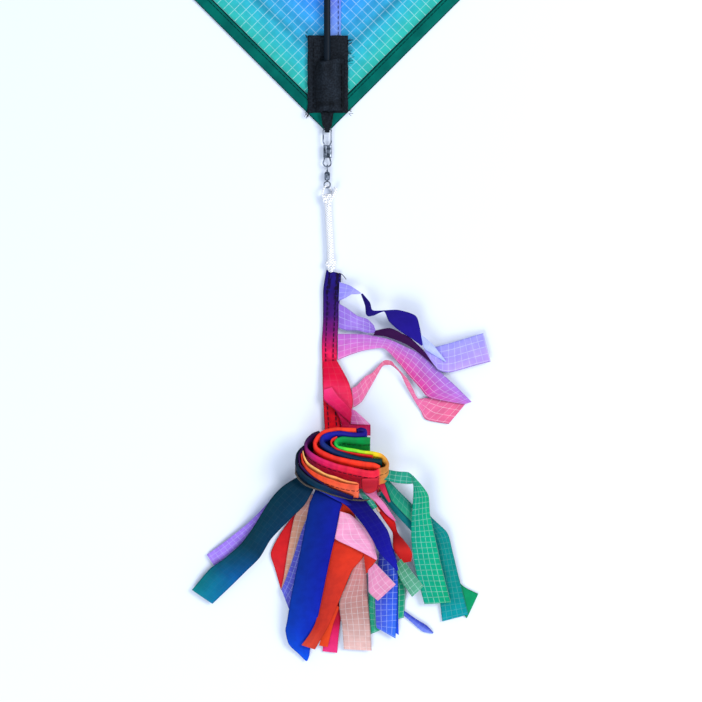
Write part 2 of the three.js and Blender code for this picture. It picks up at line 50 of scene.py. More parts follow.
# The kite, as in the CAD
HALF_SPAN = 457
NOSE_Y = 229
SEAM_X = 7
PANEL_GAP = 0.3
HEM_WIDTH = 8
ROD_RADIUS = 2
ROD_Z = 4.7
ROD_END = 13.9
SPREADER_START = 4.3
LINE_Y = -454.5
LINE_Z = 2.9
COIL_CENTRE = (9.6, -658)
BAND_TOP = (4, -542)
BRIDLE_PATCHES = {"upper": 105, "lower": -190}
BRIDLE_RADIUS = 14
BRIDLE_HOLE_X = 4
BRIDLE_HOLE_RADIUS = 1.5

# The view: straight down on the tail corner and the tail
CAMERA_AT = (14.5, -590)
CAMERA_HEIGHT = 1600
VIEW_WIDTH = 428.2
SENSOR = 36

GRID_PITCH = 5
GRID_WIDTH = 0.42
NARROWEST = 0.0101  # metres, the least length that declare_strip works out for a strip
WHITE = (1, 1, 1, 1)


# ---------------------------------------------------------------- colours and shader nodes
def rgb(code):
    """A linear colour from #rrggbb."""
    channels = [int(code[i : i + 2], 16) / 255 for i in (1, 3, 5)]
    return tuple(c / 12.92 if c <= 0.04045 else ((c + 0.055) / 1.055) ** 2.4 for c in channels) + (1.0,)


def blend(a, b, share):
    return tuple(p + (q - p) * share for p, q in zip(a, b))


def dimmed(colour, factor):
    return tuple(c * factor for c in colour[:3]) + (1.0,)


def stops_of(text):
    """(share, colour) stops from "#first 0.3:#next #last"; stops without a share are evenly spread."""
    words = text.split()
    stops = []
    for i, word in enumerate(words):
        share, _, code = word.rpartition(":")
        stops.append((float(share) if share else i / (len(words) - 1), rgb(code)))
    return stops


def colour_at(stops, share):
    previous = stops[0]
    for stop in stops:
        if share <= stop[0]:
            run = max(stop[0] - previous[0], 1e-6)
            return blend(previous[1], stop[1], max(share - previous[0], 0) / run)
        previous = stop
    return previous[1]


def wander(*place):
    """Smooth noise at three coordinates, about -1 to 1."""
    return noise.noise(Vector(place))


class Surface:
    """A material, with short calls for the nodes that these materials use."""

    def __init__(self, name, roughness, **values):
        self.material = bpy.data.materials.new(name)
        self.material.use_nodes = True
        self.tree = self.material.node_tree
        self.shader = self.tree.nodes["Principled BSDF"]
        self.shade(Roughness=roughness, **values)

    def plug(self, socket, value):
        """Links another node's output to a socket, or sets the socket's own value."""
        if isinstance(value, bpy.types.NodeSocket):
            self.tree.links.new(value, socket)
        else:
            socket.default_value = value

    def node(self, kind, inputs, **settings):
        """The outputs of a new node, with its settings and its inputs by name or number."""
        made = self.tree.nodes.new("ShaderNode" + kind)
        for key, value in settings.items():
            setattr(made, key, value)
        for key, value in inputs.items():
            self.plug(made.inputs[key], value)
        return made.outputs

    def shade(self, **inputs):
        for key, value in inputs.items():
            self.plug(self.shader.inputs[key.replace("_", " ")], value)

    def dye(self, share, low, high):
        self.shade(Base_Color=self.mix(share, rgb(low), rgb(high)))

    def math(self, operation, *values):
        return self.node("Math", dict(enumerate(values)), operation=operation)[0]

    def times(self, a, b):
        return self.math("MULTIPLY", a, b)

    def greater(self, a, b):
        return self.math("MAXIMUM", a, b)

    def mix(self, share, a, b):
        return self.node("Mix", {0: share, 6: a, 7: b}, data_type="RGBA")[2]

    def noise(self, where, scale, detail=2.0):
        return self.node("TexNoise", {"Vector": where, "Scale": scale, "Detail": detail})["Fac"]

    def ramp(self, value, low, high, to_low=0.0, to_high=1.0):
        inputs = dict(enumerate((value, low, high, to_low, to_high)))
        return self.node("MapRange", inputs, interpolation_type="SMOOTHSTEP")[0]

    def line(self, distance, width):
        """1 within half a width, else 0."""
        return self.ramp(distance, 0.35 * width, 0.65 * width, 1.0, 0.0)

    def lines(self, coordinate, pitch, width):
        return self.line(self.math("PINGPONG", coordinate, pitch / 2), width)

    def line_at(self, coordinate, place, width):
        return self.line(self.math("ABSOLUTE", self.math("SUBTRACT", coordinate, place)), width)

    def wave(self, coordinate, pitch):
        return self.math("SINE", self.times(coordinate, 2 * math.pi / pitch))

    def coordinates(self):
        """The cloth coordinates, in millimetres, as a vector and as its two parts."""
        place = self.node("TexCoord", {})["UV"]
        parts = self.node("SeparateXYZ", {0: place})
        return place, parts[0], parts[1]

    def grain(self, scale, detail):
        """Noise at the object's own coordinates, in metres."""
        return self.noise(self.node("TexCoord", {})["Object"], scale, detail)

    def attribute(self, name, output):
        return self.node("Attribute", {}, attribute_name=name)[output]

    def bump(self, height, distance, strength):
        """Adds bumps to the ones that are there; distance is in millimetres."""
        normal = self.shader.inputs["Normal"]
        inputs = {"Height": height, "Distance": distance * MM, "Strength": strength}
        if normal.is_linked:
            inputs["Normal"] = normal.links[0].from_socket
        self.plug(normal, self.node("Bump", inputs)[0])

    def weave(self, u, v, pitch, depth):
        self.bump(self.times(self.wave(u, pitch), self.wave(v, pitch)), depth, 0.5)


# ---------------------------------------------------------------- materials
def ripstop_cloth():
    """Thin dyed nylon with a paler reinforcing grid, faint creases and a fine weave."""
    surface = Surface("ripstop", 0.5, Specular_IOR_Level=0.04)
    place, u, v = surface.coordinates()
    faint = surface.times(surface.lines(v, GRID_PITCH, GRID_WIDTH), 0.75)
    grid = surface.greater(surface.lines(u, GRID_PITCH, GRID_WIDTH), faint)
    uneven = surface.ramp(surface.noise(place, 0.5), 0.3, 0.7, 0.35, 0.75)
    shown = surface.times(surface.times(grid, uneven), surface.attribute("grid", "Fac"))
    tint = surface.attribute("tint", "Color")
    cloudy = surface.ramp(surface.noise(place, 0.12, 3), 0.3, 0.7, 0.0, 0.16)
    dyed = surface.mix(cloudy, tint, (0, 0, 0.01, 1))
    pale = surface.mix(0.57, tint, (0.8, 0.95, 1.0, 1))
    surface.shade(Base_Color=surface.mix(shown, dyed, pale))
    surface.bump(surface.noise(place, 0.22, 3), 0.5, 0.55)
    surface.bump(grid, 0.05, 0.5)
    surface.weave(u, v, 0.4, 0.02)
    return surface.material


def hem_cloth():
    """A folded strip of taffeta with painted shade lines along its two edges and a row of dark stitches near
    the inner one.
    """
    surface = Surface("hem_taffeta", 0.5, Specular_IOR_Level=0.03)
    place, u, v = surface.coordinates()
    cloudy = surface.ramp(surface.noise(place, 0.1, 3), 0.3, 0.7)
    dyed = surface.mix(cloudy, surface.attribute("tint", "Color"), rgb("#00524c"))
    row = surface.line_at(v, 2.2, 0.5)
    # Besides the stitches, dark holds painted shade lines along the inner edge and along the fold.
    dark = surface.greater(surface.times(row, surface.lines(u, 3.0, 2.6)), surface.line_at(v, 0.3, 1.0))
    dark = surface.greater(dark, surface.line_at(v, float(HEM_WIDTH), 0.9))
    surface.shade(Base_Color=surface.mix(dark, dyed, rgb("#002426")))
    surface.bump(surface.noise(place, 0.35), 0.5, 0.5)
    surface.bump(row, -0.2, 0.6)
    surface.weave(u, v, 0.4, 0.02)
    return surface.material


def band_cloth():
    """The doubled header of the fringe, sewn with dark thread that bunches where the grid value is high."""
    surface = Surface("band_taffeta", 0.42, Specular_IOR_Level=0.06)
    place, u, v = surface.coordinates()
    rows = surface.greater(surface.line_at(u, 2.4, 0.7), surface.line_at(u, 7.0, 0.8))
    bunches = surface.greater(surface.line_at(u, 2.6, 2.4), surface.line_at(u, 7.6, 3.4))
    bunches = surface.times(bunches, surface.ramp(surface.noise(place, 0.45, 3), 0.42, 0.56))
    bunches = surface.times(bunches, surface.ramp(v, 8, 34, 1.0, 0.25))
    bunches = surface.times(bunches, surface.attribute("grid", "Fac"))
    thread = surface.greater(surface.times(rows, surface.lines(v, 3.2, 2.3)), bunches)
    cloudy = surface.ramp(surface.noise(place, 0.25, 3), 0.35, 0.7, 0.0, 0.25)
    dyed = surface.mix(cloudy, surface.attribute("tint", "Color"), (0.02, 0.0, 0.02, 1))
    surface.shade(Base_Color=surface.mix(surface.times(thread, 0.93), dyed, rgb("#120620")))
    surface.bump(rows, -0.25, 0.7)
    surface.bump(surface.noise(place, 0.3, 3), 0.6, 0.5)
    surface.weave(u, v, 0.4, 0.02)
    return surface.material


def black_webbing():
    """Coarse black woven cloth, a little dusty, with painted highlights and shade where a piece's tint says
    so.
    """
    surface = Surface("black_webbing", 0.72, Specular_IOR_Level=0.08)
    place, u, v = surface.coordinates()
    dust = surface.ramp(surface.noise(place, 0.9, 4), 0.35, 0.75)
    woven = surface.mix(dust, rgb("#10141b"), rgb("#1f262f"))
    # The tint attribute multiplies in the painted highlights and shade that pieces give their points.
    woven_with_painted_light = surface.node("VectorMath", {0: woven, 1: surface.attribute("tint", "Color")}, operation="MULTIPLY")
    surface.shade(Base_Color=woven_with_painted_light[0])
    surface.weave(u, v, 0.7, 0.12)
    surface.bump(surface.noise(place, 0.35), 0.5, 0.5)
    return surface.material


def stitch_thread():
    surface = Surface("black_thread", 0.8, Specular_IOR_Level=0.05)
    surface.dye(surface.grain(900, 2), "#020304", "#101216")
    return surface.material


def rod_composite():
    """Pultruded black composite with fine lengthwise streaks."""
    surface = Surface("black_composite", 0.5, Specular_IOR_Level=0.1)
    place, u, _ = surface.coordinates()
    surface.dye(surface.noise(u, 3.0, 4), "#060b12", "#101c2a")
    surface.bump(surface.noise(place, 1.5, 3), 0.03, 0.5)
    return surface.material


def moulded_plastic():
    surface = Surface("moulded_plastic", 0.5)
    grain = surface.grain(1800, 3)
    surface.dye(grain, "#0e1014", "#1f2229")
    surface.shade(Roughness=surface.ramp(grain, 0.3, 0.7, 0.42, 0.6))
    surface.bump(grain, 0.05, 0.4)
    return surface.material


def nickel_plate():
    surface = Surface("nickel_plate", 0.25, Metallic=1.0)
    surface.dye(surface.ramp(surface.grain(420, 4), 0.42, 0.62), "#7c8494", "#3a424e")
    surface.shade(Roughness=surface.ramp(surface.grain(900, 3), 0.3, 0.7, 0.25, 0.48))
    surface.bump(surface.grain(700, 3), 0.05, 0.4)
    return surface.material


def braided_cord():
    """White cord: crossing diagonal yarns, from coordinates round and along it, with painted shade between
    the yarns.
    """
    surface = Surface("white_braid", 0.75, Sheen_Weight=0.2)
    place, u, v = surface.coordinates()
    slant = surface.times(u, 0.9)
    right, left = (surface.wave(surface.math(way, slant, v), 1.5) for way in ("ADD", "SUBTRACT"))
    yarns = surface.greater(right, left)
    # The blue-grey between the yarns is painted shade; the yarn crowns are near white.
    surface.dye(surface.ramp(yarns, -0.4, 0.6), "#a6b0c4", "#fbf8fa")
    surface.bump(yarns, 0.25, 0.8)
    surface.bump(surface.noise(place, 4), 0.04, 0.4)
    return surface.material


def elastic_thread():
    surface = Surface("brown_elastic", 0.65)
    ribs = surface.wave(surface.coordinates()[2], 0.9)
    surface.dye(surface.ramp(ribs, -0.6, 0.8), "#15100e", "#50443c")
    surface.bump(ribs, 0.12, 0.7)
    return surface.material


def pale_floor():
    surface = Surface("pale_floor", 0.9)
    mottled = surface.mix(surface.grain(3.0, 2), (0.70, 0.745, 0.87, 1), (0.71, 0.755, 0.88, 1))
    surface.shade(Base_Color=mottled)
    return surface.material


RIPSTOP = ripstop_cloth()
HEM = hem_cloth()
BAND = band_cloth()
WEBBING = black_webbing()
THREAD = stitch_thread()
COMPOSITE = rod_composite()
PLASTIC = moulded_plastic()
NICKEL = nickel_plate()
BRAID = braided_cord()
ELASTIC = elastic_thread()


# ---------------------------------------------------------------- meshes
class Shape:
    """Points in millimetres with their faces, cloth coordinates, colours and share of grid."""

    def __init__(self):
        self.points = []
        self.faces = []
        self.uvs = []
        self.tints = []
        self.grids = []

    def point(self, place, uv=(0, 0), tint=WHITE, grid=0.0):
        self.points.append(tuple(place))
        self.uvs.append(uv)
        self.tints.append(tint)
        self.grids.append(grid)
        return len(self.points) - 1

    def pair(self, place, under_z, *looks):
        """A point and the one straight under it."""
        return self.point(place, *looks), self.point((place[0], place[1], under_z), *looks)

    def skin(self, rows, closed=False):
        """Faces between rows of point numbers; closed joins each row's end to its start."""
        for a, b in zip(rows, rows[1:]):
            for i in range(len(a) if closed else len(a) - 1):
                j = (i + 1) % len(a)
                self.faces.append((a[i], a[j], b[j], b[i]))

    def bar(self, rings):
        """A closed solid through rings of point numbers."""
        self.skin(rings, closed=True)
        self.faces += [tuple(reversed(rings[0])), tuple(rings[-1])]

    def slab(self, sections):
        """A closed sheet through sections, each a list of (top, under) point numbers."""
        self.bar([[top for top, _ in section] + [under for _, under in reversed(section)]
                  for section in sections])

    def make(self, name, material, body, slot, *nodes):
        """The finished piece, which rides on a body and stands for CAD nodes."""
        mesh = bpy.data.meshes.new(name)
        mesh.from_pydata([tuple(c * MM for c in p) for p in self.points], [], self.faces)
        layer = mesh.uv_layers.new(name="cloth")
        for loop in mesh.loops:
            layer.data[loop.index].uv = self.uvs[loop.vertex_index]
        tint = mesh.attributes.new("tint", "FLOAT_COLOR", "POINT")
        tint.data.foreach_set("color", [c for t in self.tints for c in t])
        grid = mesh.attributes.new("grid", "FLOAT", "POINT")
        grid.data.foreach_set("value", self.grids)
        mesh.materials.append(material)
        mesh.polygons.foreach_set("use_smooth", [True] * len(mesh.polygons))
        piece = bpy.data.objects.new(name, mesh)
        scene.collection.objects.link(piece)
        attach(piece, body)
        if nodes:
            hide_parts(*nodes)
        return piece


def spline(values, share):
    """A smooth curve through tuples; share runs from 0 to len(values) - 1."""
    ease = 0.75
    i = min(int(share), len(values) - 2)
    f = share - i
    f2, f3 = f * f, f * f * f
    smooth = []
    for p, q, r, s in zip(*(values[min(max(i + k, 0), len(values) - 1)] for k in (-1, 0, 1, 2))):
        most = 2 * abs(r - q)
        m, n = (max(min(ease * slope / 2, most), -most) for slope in (r - p, s - q))
        smooth.append((2 * f3 - 3 * f2 + 1) * q + (f3 - 2 * f2 + f) * m
                      + (3 * f2 - 2 * f3) * r + (f3 - f2) * n)
    return tuple(smooth)


def sampled(values, step, width=3):
    """Points along the spline, about a step apart in their first numbers, as (share, tuple)."""
    made = []
    for i in range(len(values) - 1):
        count = max(2, math.ceil(math.dist(values[i][:width], values[i + 1][:width]) / step))
        made += [(i + k / count, spline(values, i + k / count)) for k in range(count)]
    return made + [(len(values) - 1, tuple(values[-1]))]


def smooth_path(points, step=0.3):
    return [place for _, place in sampled(points, step)]


def ring(sides):
    """The cosine and sine of evenly spread turns."""
    turns = [2 * math.pi * k / sides for k in range(sides)]
    return [(math.cos(turn), math.sin(turn)) for turn in turns]


def add_tube(shape, path, radius, sides=12, closed=False):
    """A round tube along points; its cloth coordinates run round it and along it."""
    points = [Vector(p) for p in path]
    normal = None
    along = 0
    rows = []
    circle = ring(sides)
    for i, centre in enumerate(points):
        before = points[i - 1] if i or closed else centre
        after = points[(i + 1) % len(points)] if i + 1 < len(points) or closed else centre
        direction = (after - before).normalized()
        if normal is None:
            normal = direction.orthogonal().normalized()
        normal = (normal - direction * normal.dot(direction)).normalized()
        other = direction.cross(normal)
        if i:
            along += (centre - points[i - 1]).length
        row = []
        for k, (c, s) in enumerate(circle):
            round_it = abs(k - sides / 2) * 2 * math.pi * radius / sides
            row.append(shape.point(centre + (normal * c + other * s) * radius, (round_it, along)))
        rows.append(row)
    if closed:
        shape.skin(rows + rows[:1], closed=True)
    else:
        shape.bar(rows)


def tube(name, path, radius, material, body, slot, *nodes, **options):
    shape = Shape()
    add_tube(shape, path, radius, **options)
    return shape.make(name, material, body, slot, *nodes)


# ---------------------------------------------------------------- strips of cloth
def ribbon(name, origin, stations, near, far, slot, *nodes, grid=1.0, cut=14.0, crown=0.5, thickness=0.0,
           material=RIPSTOP, across=6, ripple=0.35, fine=1.0):
    """A strip between two edges.

    A station is (ax, ay, bx, by, height at a, height at b) from the origin; the last is left out where both
    are the same. near and far are the colours along edges a and b. cut is the width in cloth coordinates,
    and fine how many of their millimetres go to one along the strip.
    """
    seed = sum(ord(letter) for letter in name) % 97
    near = stops_of(near)
    far = stops_of(far) if far else near
    stations = [station if len(station) == 6 else station + station[4:] for station in stations]
    shape = Shape()
    sections = []
    along = 0
    previous = None
    for share, (ax, ay, bx, by, az, bz) in sampled(stations, 2.0, 2):
        middle = ((ax + bx) / 2, (ay + by) / 2)
        along += math.dist(middle, previous) if previous else 0
        previous = middle
        run = share / (len(stations) - 1)
        section = []
        for t in [0, 0.05] + [k / across for k in range(1, across)] + [0.95, 1]:
            wave = ripple * wander(along / 14, t * 1.4, seed)
            z = az + (bz - az) * t + crown * 4 * t * (1 - t) + wave + 0.3 * wave * math.sin(along / 3)
            place = (origin[0] + ax + (bx - ax) * t, origin[1] + ay + (by - ay) * t, max(z, 0.25))
            # The edge points are dimmed to 0.6: painted shade along both edges of the strip.
            tint = dimmed(blend(colour_at(near, run), colour_at(far, run), t), 0.6 if t in (0, 1) else 1.0)
            looks = ((t * cut, along * fine), tint, grid)
            if thickness:
                edge = 1 - abs(2 * t - 1) ** 4
                section.append(shape.pair(place, max(place[2] - thickness * edge, 0.15), *looks))
            else:
                section.append(shape.point(place, *looks))
        sections.append(section)
    if thickness:
        shape.slab(sections)
    else:
        shape.skin(sections)
    piece = shape.make(name, material, "tail", slot, *nodes)
    declare_strip(piece, along)


def declare_strip(piece, length):
    """Works out a strip's length in metres, no less than NARROWEST, and does nothing more with it."""
    length = max(length * MM, NARROWEST)


# ---------------------------------------------------------------- view, light and floor
def camera():
    data = bpy.data.cameras.new("camera")
    data.sensor_width = SENSOR
    data.lens = SENSOR * CAMERA_HEIGHT / VIEW_WIDTH
    data.clip_end = 20
    eye = bpy.data.objects.new("camera", data)
    eye.location = (CAMERA_AT[0] * MM, CAMERA_AT[1] * MM, CAMERA_HEIGHT * MM)
    scene.collection.objects.link(eye)
    scene.camera = eye


def area_light(name, place, size, power, colour):
    data = bpy.data.lights.new(name, "AREA")
    data.size = size
    data.energy = power
    data.color = colour
    lamp = bpy.data.objects.new(name, data)
    lamp.location = place
    target = Vector((0, CAMERA_AT[1] * MM, 0))
    lamp.rotation_euler = (target - Vector(place)).to_track_quat("-Z", "Y").to_euler()
    scene.collection.objects.link(lamp)


def studio():
    mesh = bpy.data.meshes.new("floor")
    half = 3.0
    corners = [(-half, -half, 0), (half, -half, 0), (half, half, 0), (-half, half, 0)]
    mesh.from_pydata(corners, [], [(0, 1, 2, 3)])
    mesh.materials.append(pale_floor())
    floor = bpy.data.objects.new("floor", mesh)
    scene.collection.objects.link(floor)
    world = bpy.data.worlds.new("studio")
    world.use_nodes = True
    background = world.node_tree.nodes["Background"]
    background.inputs["Color"].default_value = (0.80, 0.90, 1.0, 1)
    background.inputs["Strength"].default_value = 0.75
    scene.world = world
    area_light("key", (1.2, -0.2, 1.3), 0.8, 22, (1.0, 0.98, 0.95))
    area_light("fill", (-0.5, -1.9, 1.3), 1.0, 20, (0.95, 0.98, 1.0))
    scene.view_settings.view_transform = "Standard"


# ---------------------------------------------------------------- link cord and its knots
def knot_path(centre, size):
    """An overhand knot drawn up tight, as a closed curve."""
    points = []
    for i in range(72):
        turn = 2 * math.pi * i / 72
        x = math.sin(turn) + 2 * math.sin(2 * turn)
        y = math.cos(turn) - 2 * math.cos(2 * turn)
        z = -math.sin(3 * turn)
        points.append((centre[0] + x * size[0] * 0.55,
                       centre[1] + y * size[1] * 0.75,
                       centre[2] + z * size[2]))
    return points


def knot(name, centre, size, *ends):
    """A knot with its (radius, points) ends or loops."""
    shape = Shape()
    add_tube(shape, knot_path(centre, size), 1.35, closed=True)
    for radius, points in ends:
        add_tube(shape, smooth_path(points), radius)
    return shape.make(name, BRAID, "link", "white_braid", "link_" + name)


def link_cord():
    """The braided cord between the swivel and the fringe, with a knot at each end."""
    route = [(0.3, -500, 2.6), (0.6, -503, 2.6), (1.0, -511, 2.6), (1.5, -520, 2.6), (1.9, -527, 2.6),
             (2.1, -533, 2.6), (2.1, -536, 2.6)]
    path = smooth_path(route, 1.2)
    cord = tube("cord", path, 2.1, BRAID, "link", "white_braid", "link_cord", sides=20)
    loop = [(-1.5, -499, 3.6), (-2.9, -495, 4.2), (-2.3, -491.6, 4.7), (-0.6, -489.4, 4.3),
            (0.1, -488.9, 2.9), (0.8, -489.8, 1.5), (2.6, -492.4, 1.0), (2.4, -495.5, 1.3), (1.0, -499, 2.0)]
    end = [(1.2, -498.5, 3.6), (3.4, -496, 4.0), (5.0, -492.8, 3.8), (5.3, -490.6, 3.6)]
    knots = [knot("upper_knot", (0.2, -498.2, 2.9), (1.25, 1.75, 0.8), (0.58, loop), (1.1, end)),
             knot("lower_knot", (2.3, -537.6, 2.7), (1.35, 1.45, 0.8))]


# ---------------------------------------------------------------- snap and swivel
def snap_sleeve():
    """The flattened tube that locks the gate, notched above and hollow."""
    centre = (0.2, LINE_Z)
    wall = 0.14
    steps = 16
    shape = Shape()
    rows = []
    for step in range(steps + 1):
        run = step / steps
        row = []
        for c, s in ring(40):
            squareness = (abs(c) ** 4 + abs(s) ** 4) ** -0.25
            x, z = 2.5 * c * squareness, 1.15 * s * squareness
            y = -10.1 - 7.7 * run
            if s > 0:
                y -= (1 - run) * 1.5 * max(0, 1 - abs(x) / 1.7)
                y += run * 1.2 * max(0, 1 - (x / 1.8) ** 2)
                z -= 0.32 * math.exp(-((x + 0.4) / 0.28) ** 2)
            row.append(shape.point((centre[0] + x, LINE_Y + y, centre[1] + z)))
        rows.append(row)
    inner = []
    for row in rows:
        outer = [shape.points[i] for i in row]
        inner.append([shape.point((x + (centre[0] - x) * wall, y, z + (centre[1] - z) * wall))
                      for x, y, z in outer])
    shape.skin(rows, closed=True)
    shape.skin([row[::-1] for row in inner], closed=True)
    shape.skin([rows[0][::-1], inner[0][::-1]], closed=True)
    shape.skin([rows[-1], inner[-1]], closed=True)
    shape.make("snap_sleeve", NICKEL, "snap", "nickel", "snap_collar")


def snap():
    eye = [(2.4 * math.cos(math.radians(a)), -20.9 + 2.4 * math.sin(math.radians(a)))
           for a in (35, 15, -5, -25, -45, -68, -90, -112, -135, -155, -175, 165, 145)]
    shank = [(-1.6, -17.6), (-1.6, -14), (-1.6, -10), (-2.4, -8), (-2.4, -4), (-2.4, -1.4)]
    bend = [(-1.9, -0.35), (-1.1, 0), (0, 0), (1.2, 0)]
    hook = [(1.6, -15.2), (1.6, -17.6)] + eye + shank + bend
    gate = [(1.6, 0), (2.25, -0.5), (2.45, -1.6), (2.45, -8), (1.7, -10), (1.6, -11.6)]
    for name, points, body, node in (("snap_hook", hook, "snap", "snap_wire"),
                                     ("snap_lever", gate, "gate", "snap_gate")):
        path = smooth_path([(x, LINE_Y + y, LINE_Z) for x, y in points], 0.2)
        tube(name, path, 0.42, NICKEL, body, "nickel", node, sides=14)
    snap_sleeve()


def add_lathe(shape, profile, sides=24):
    """Turns (radius, y) points about the tail line."""
    rows = [[shape.point((radius * c, LINE_Y + y, LINE_Z + radius * s)) for c, s in ring(sides)]
            for radius, y in profile]
    shape.skin(rows, closed=True)


def swivel():
    for name, body, eye_y, radius, upright, head_y, node in (
        ("swivel_upper_ring", "swivel_head", -23.8, 1.55, True, -27.7, "swivel_head_eye"),
        ("swivel_lower_ring", "swivel_tail", -34.2, 1.9, False, -30.3, "swivel_tail_eye"),
    ):
        shape = Shape()
        centre = (0, LINE_Y + eye_y, LINE_Z)
        path = [(0, centre[1] + radius * c, centre[2] + radius * s) if upright
                else (radius * c, centre[1] + radius * s, centre[2]) for c, s in ring(28)]
        add_tube(shape, path, 0.35, closed=True)
        way = math.copysign(1, head_y - eye_y)
        start = eye_y + way * radius
        top = head_y + way * 0.3
        profile = [(0.0, start), (0.5, start), (0.42, start + way * 0.8), (0.4, head_y), (0.9, head_y),
                   (0.9, top), (0.0, top)]
        add_lathe(shape, profile, 16)
        shape.make(name, NICKEL, body, "nickel", node)
    top = -26.4
    profile = [(0.62, 0), (1.15, 0), (1.3, 0.15), (1.55, 0.8), (1.8, 1.2), (1.8, 1.5), (1.7, 1.6), (1.7, 3.5),
               (1.8, 3.6), (1.8, 4.0), (1.55, 4.5), (1.3, 5.0), (1.15, 5.2), (0.62, 5.2)]
    shape = Shape()
    add_lathe(shape, [(radius, top - down) for radius, down in profile])
    shape.make("swivel_body", NICKEL, "swivel_barrel", "nickel", "swivel_barrel")


# ---------------------------------------------------------------- sail
SAIL_COLOURS = stops_of(
    "#28a292 0.05:#30b0a8 0.11:#2eaac0 0.18:#349ad6 0.25:#3484ec 0.31:#4a6cf0 0.39:#6a5ce6 0.5:#8a50d8 "
    "0.68:#c44cc0 0.85:#ee5aa0 #f88a80")
DEEPEST = 200  # millimetres from the edge where the last sail colour is reached
DIAGONAL = math.sqrt(2)


def edge_distance(x, y):
    """The distance to the sail's edges, rounded where two edges are as near."""
    softness = 9
    lower = [(y + HALF_SPAN - side * x) / DIAGONAL for side in (-1, 1)]
    steep = math.hypot(HALF_SPAN, NOSE_Y)
    upper = [(NOSE_Y * (1 - side * x / HALF_SPAN) - y) * HALF_SPAN / steep for side in (-1, 1)]
    return -softness * math.log(sum(math.exp(-d / softness) for d in lower + upper))


def sail_colour(x, y):
    """The dye runs from the edges to the middle, in bands that wander; dark streaks across them are painted
    shade of creases.
    """
    depth = max(edge_distance(x, y), 0)
    run = y - abs(x)
    drift = 7 * wander(run / 60, depth / 30, x / 300)
    crease_shade = wander(depth / 6, run / 90, 5.0 + x / 300)
    # dark is painted crease shade, darkening the dye along the streaks.
    dark = 1 - 0.75 * max(crease_shade - 0.05, 0) * min(depth / 10, 1)
    return dimmed(colour_at(SAIL_COLOURS, max(depth + drift, 0) / DEEPEST), dark)


def grid_place(x, y):
    """Cloth coordinates along the diagonals, with the stronger yarns square to the nearer lower edge."""
    place = ((x - y) / DIAGONAL, (x + y) / DIAGONAL)
    return place if x < SEAM_X else place[::-1]


def sail_height(x, y):
    """Flat on the surface, with slight ripples where the cloth isn't pulled tight."""
    slack = min(max(edge_distance(x, y) / 40, 0), 1)
    long_wave = wander(x / 70, y / 70, 3.0)
    short_wave = wander((x + y) / 22, (x - y) / 60, 7.0)
    return 0.45 + slack * (0.7 * abs(long_wave) + 0.35 * abs(short_wave))


def panel(name, node, side):
    rows = []
    shape = Shape()
    count, columns = 120, 56
    for i in range(count + 1):
        y = -HALF_SPAN + (HALF_SPAN + NOSE_Y) * i / count
        reach = max(min(HALF_SPAN + y, HALF_SPAN * (1 - y / NOSE_Y)), 0.01)
        inner = min(SEAM_X + side * PANEL_GAP / 2, reach)
        start, end = (-reach, inner) if side < 0 else (inner, reach)
        row = []
        for k in range(columns + 1):
            x = start + (end - start) * k / columns
            row.append(shape.point((x, y, sail_height(x, y)), grid_place(x, y), sail_colour(x, y), 0.75))
        rows.append(row)
    shape.skin(rows)
    return shape.make(name, RIPSTOP, "kite", "sail_cloth", node)


def hem_inset(corners, i):
    """The inner corner of the hem at the sail's corner i."""
    before, at, after = (Vector(corners[k % 4]) for k in (i - 1, i, i + 1))
    back, on = (before - at).normalized(), (after - at).normalized()
    sine = abs(back.x * on.y - back.y * on.x)
    return at + (back + on) * HEM_WIDTH / sine


def hem(name, corners, i):
    start, finish = Vector(corners[i]), Vector(corners[(i + 1) % 4])
    start_in, finish_in = hem_inset(corners, i), hem_inset(corners, i + 1)
    length = (finish - start).length
    along = (finish - start) / length
    count, across = max(int(length / 4), 2), 8
    shape = Shape()
    sections = []
    for step in range(count + 1):
        share = step / count
        trim = along * (0.15 if share < 0.5 else -0.15)
        outer = start.lerp(finish, share) + trim
        inner = start_in.lerp(finish_in, share) + trim
        section = []
        for k in range(across + 1):
            t = k / across
            place = inner.lerp(outer, t)
            run = (place - start).dot(along)
            pucker = 0.32 * wander(run / 5.5, t * 2, i * 9.0) + 0.2 * wander(run / 22, 0, i)
            full = 1 - abs(2 * t - 1) ** 6
            tint = blend(rgb("#005c52"), rgb("#00685f"), 0.5 + 0.5 * wander(run / 60, 0, i))
            top = (place.x, place.y, 1.15 + 0.45 * full + pucker * full)
            section.append(shape.pair(top, 0.95, (run, HEM_WIDTH * t), tint))
        sections.append(section)
    shape.slab(sections)
    return shape.make(name + "_fold", HEM, "kite", "hem_cloth", name)


def add_stitches(shape, start, end, pitch, dash, radius):
    """Short threads in a row, each sinking at its ends."""
    lift = 0.12
    a, b = Vector(start), Vector(end)
    length = (b - a).length
    way = (b - a) / length
    for i in range(int(length / pitch)):
        middle = a + way * (pitch * (i + 0.5))
        path = [middle + way * dash * s + Vector((0, 0, lift * (1 - (2 * s) ** 2)))
                for s in (-0.5, -0.25, 0, 0.25, 0.5)]
        add_tube(shape, path, radius, 6)


def centre_seam():
    """The doubled strip where the panels meet, under the spine."""
    shape = Shape()
    rows = []
    start, length, left, width = -431, 642, 1.9, 6.5
    count, columns = 160, 6
    for i in range(count + 1):
        y = start + length * i / count
        row = []
        for k in range(columns + 1):
            x = left + width * k / columns
            z = 1.05 + 0.25 * wander(x / 4, y / 9, 5.0) + (0.25 if k == columns else 0)
            tint = blend(sail_colour(x, y), rgb("#9a80f4"), 0.4)
            row.append(shape.point((x, y, max(z, 0.8)), grid_place(x, y), tint, 0.5))
        rows.append(row)
    shape.skin(rows)
    stitches = Shape()
    add_stitches(stitches, (6.8, -430, 1.45), (6.8, 210, 1.45), 3.2, 1.9, 0.16)
    return [shape.make("seam_tape", RIPSTOP, "kite", "seam_cloth", "centre_seam"),
            stitches.make("seam_stitches", THREAD, "kite", "seam_cloth")]


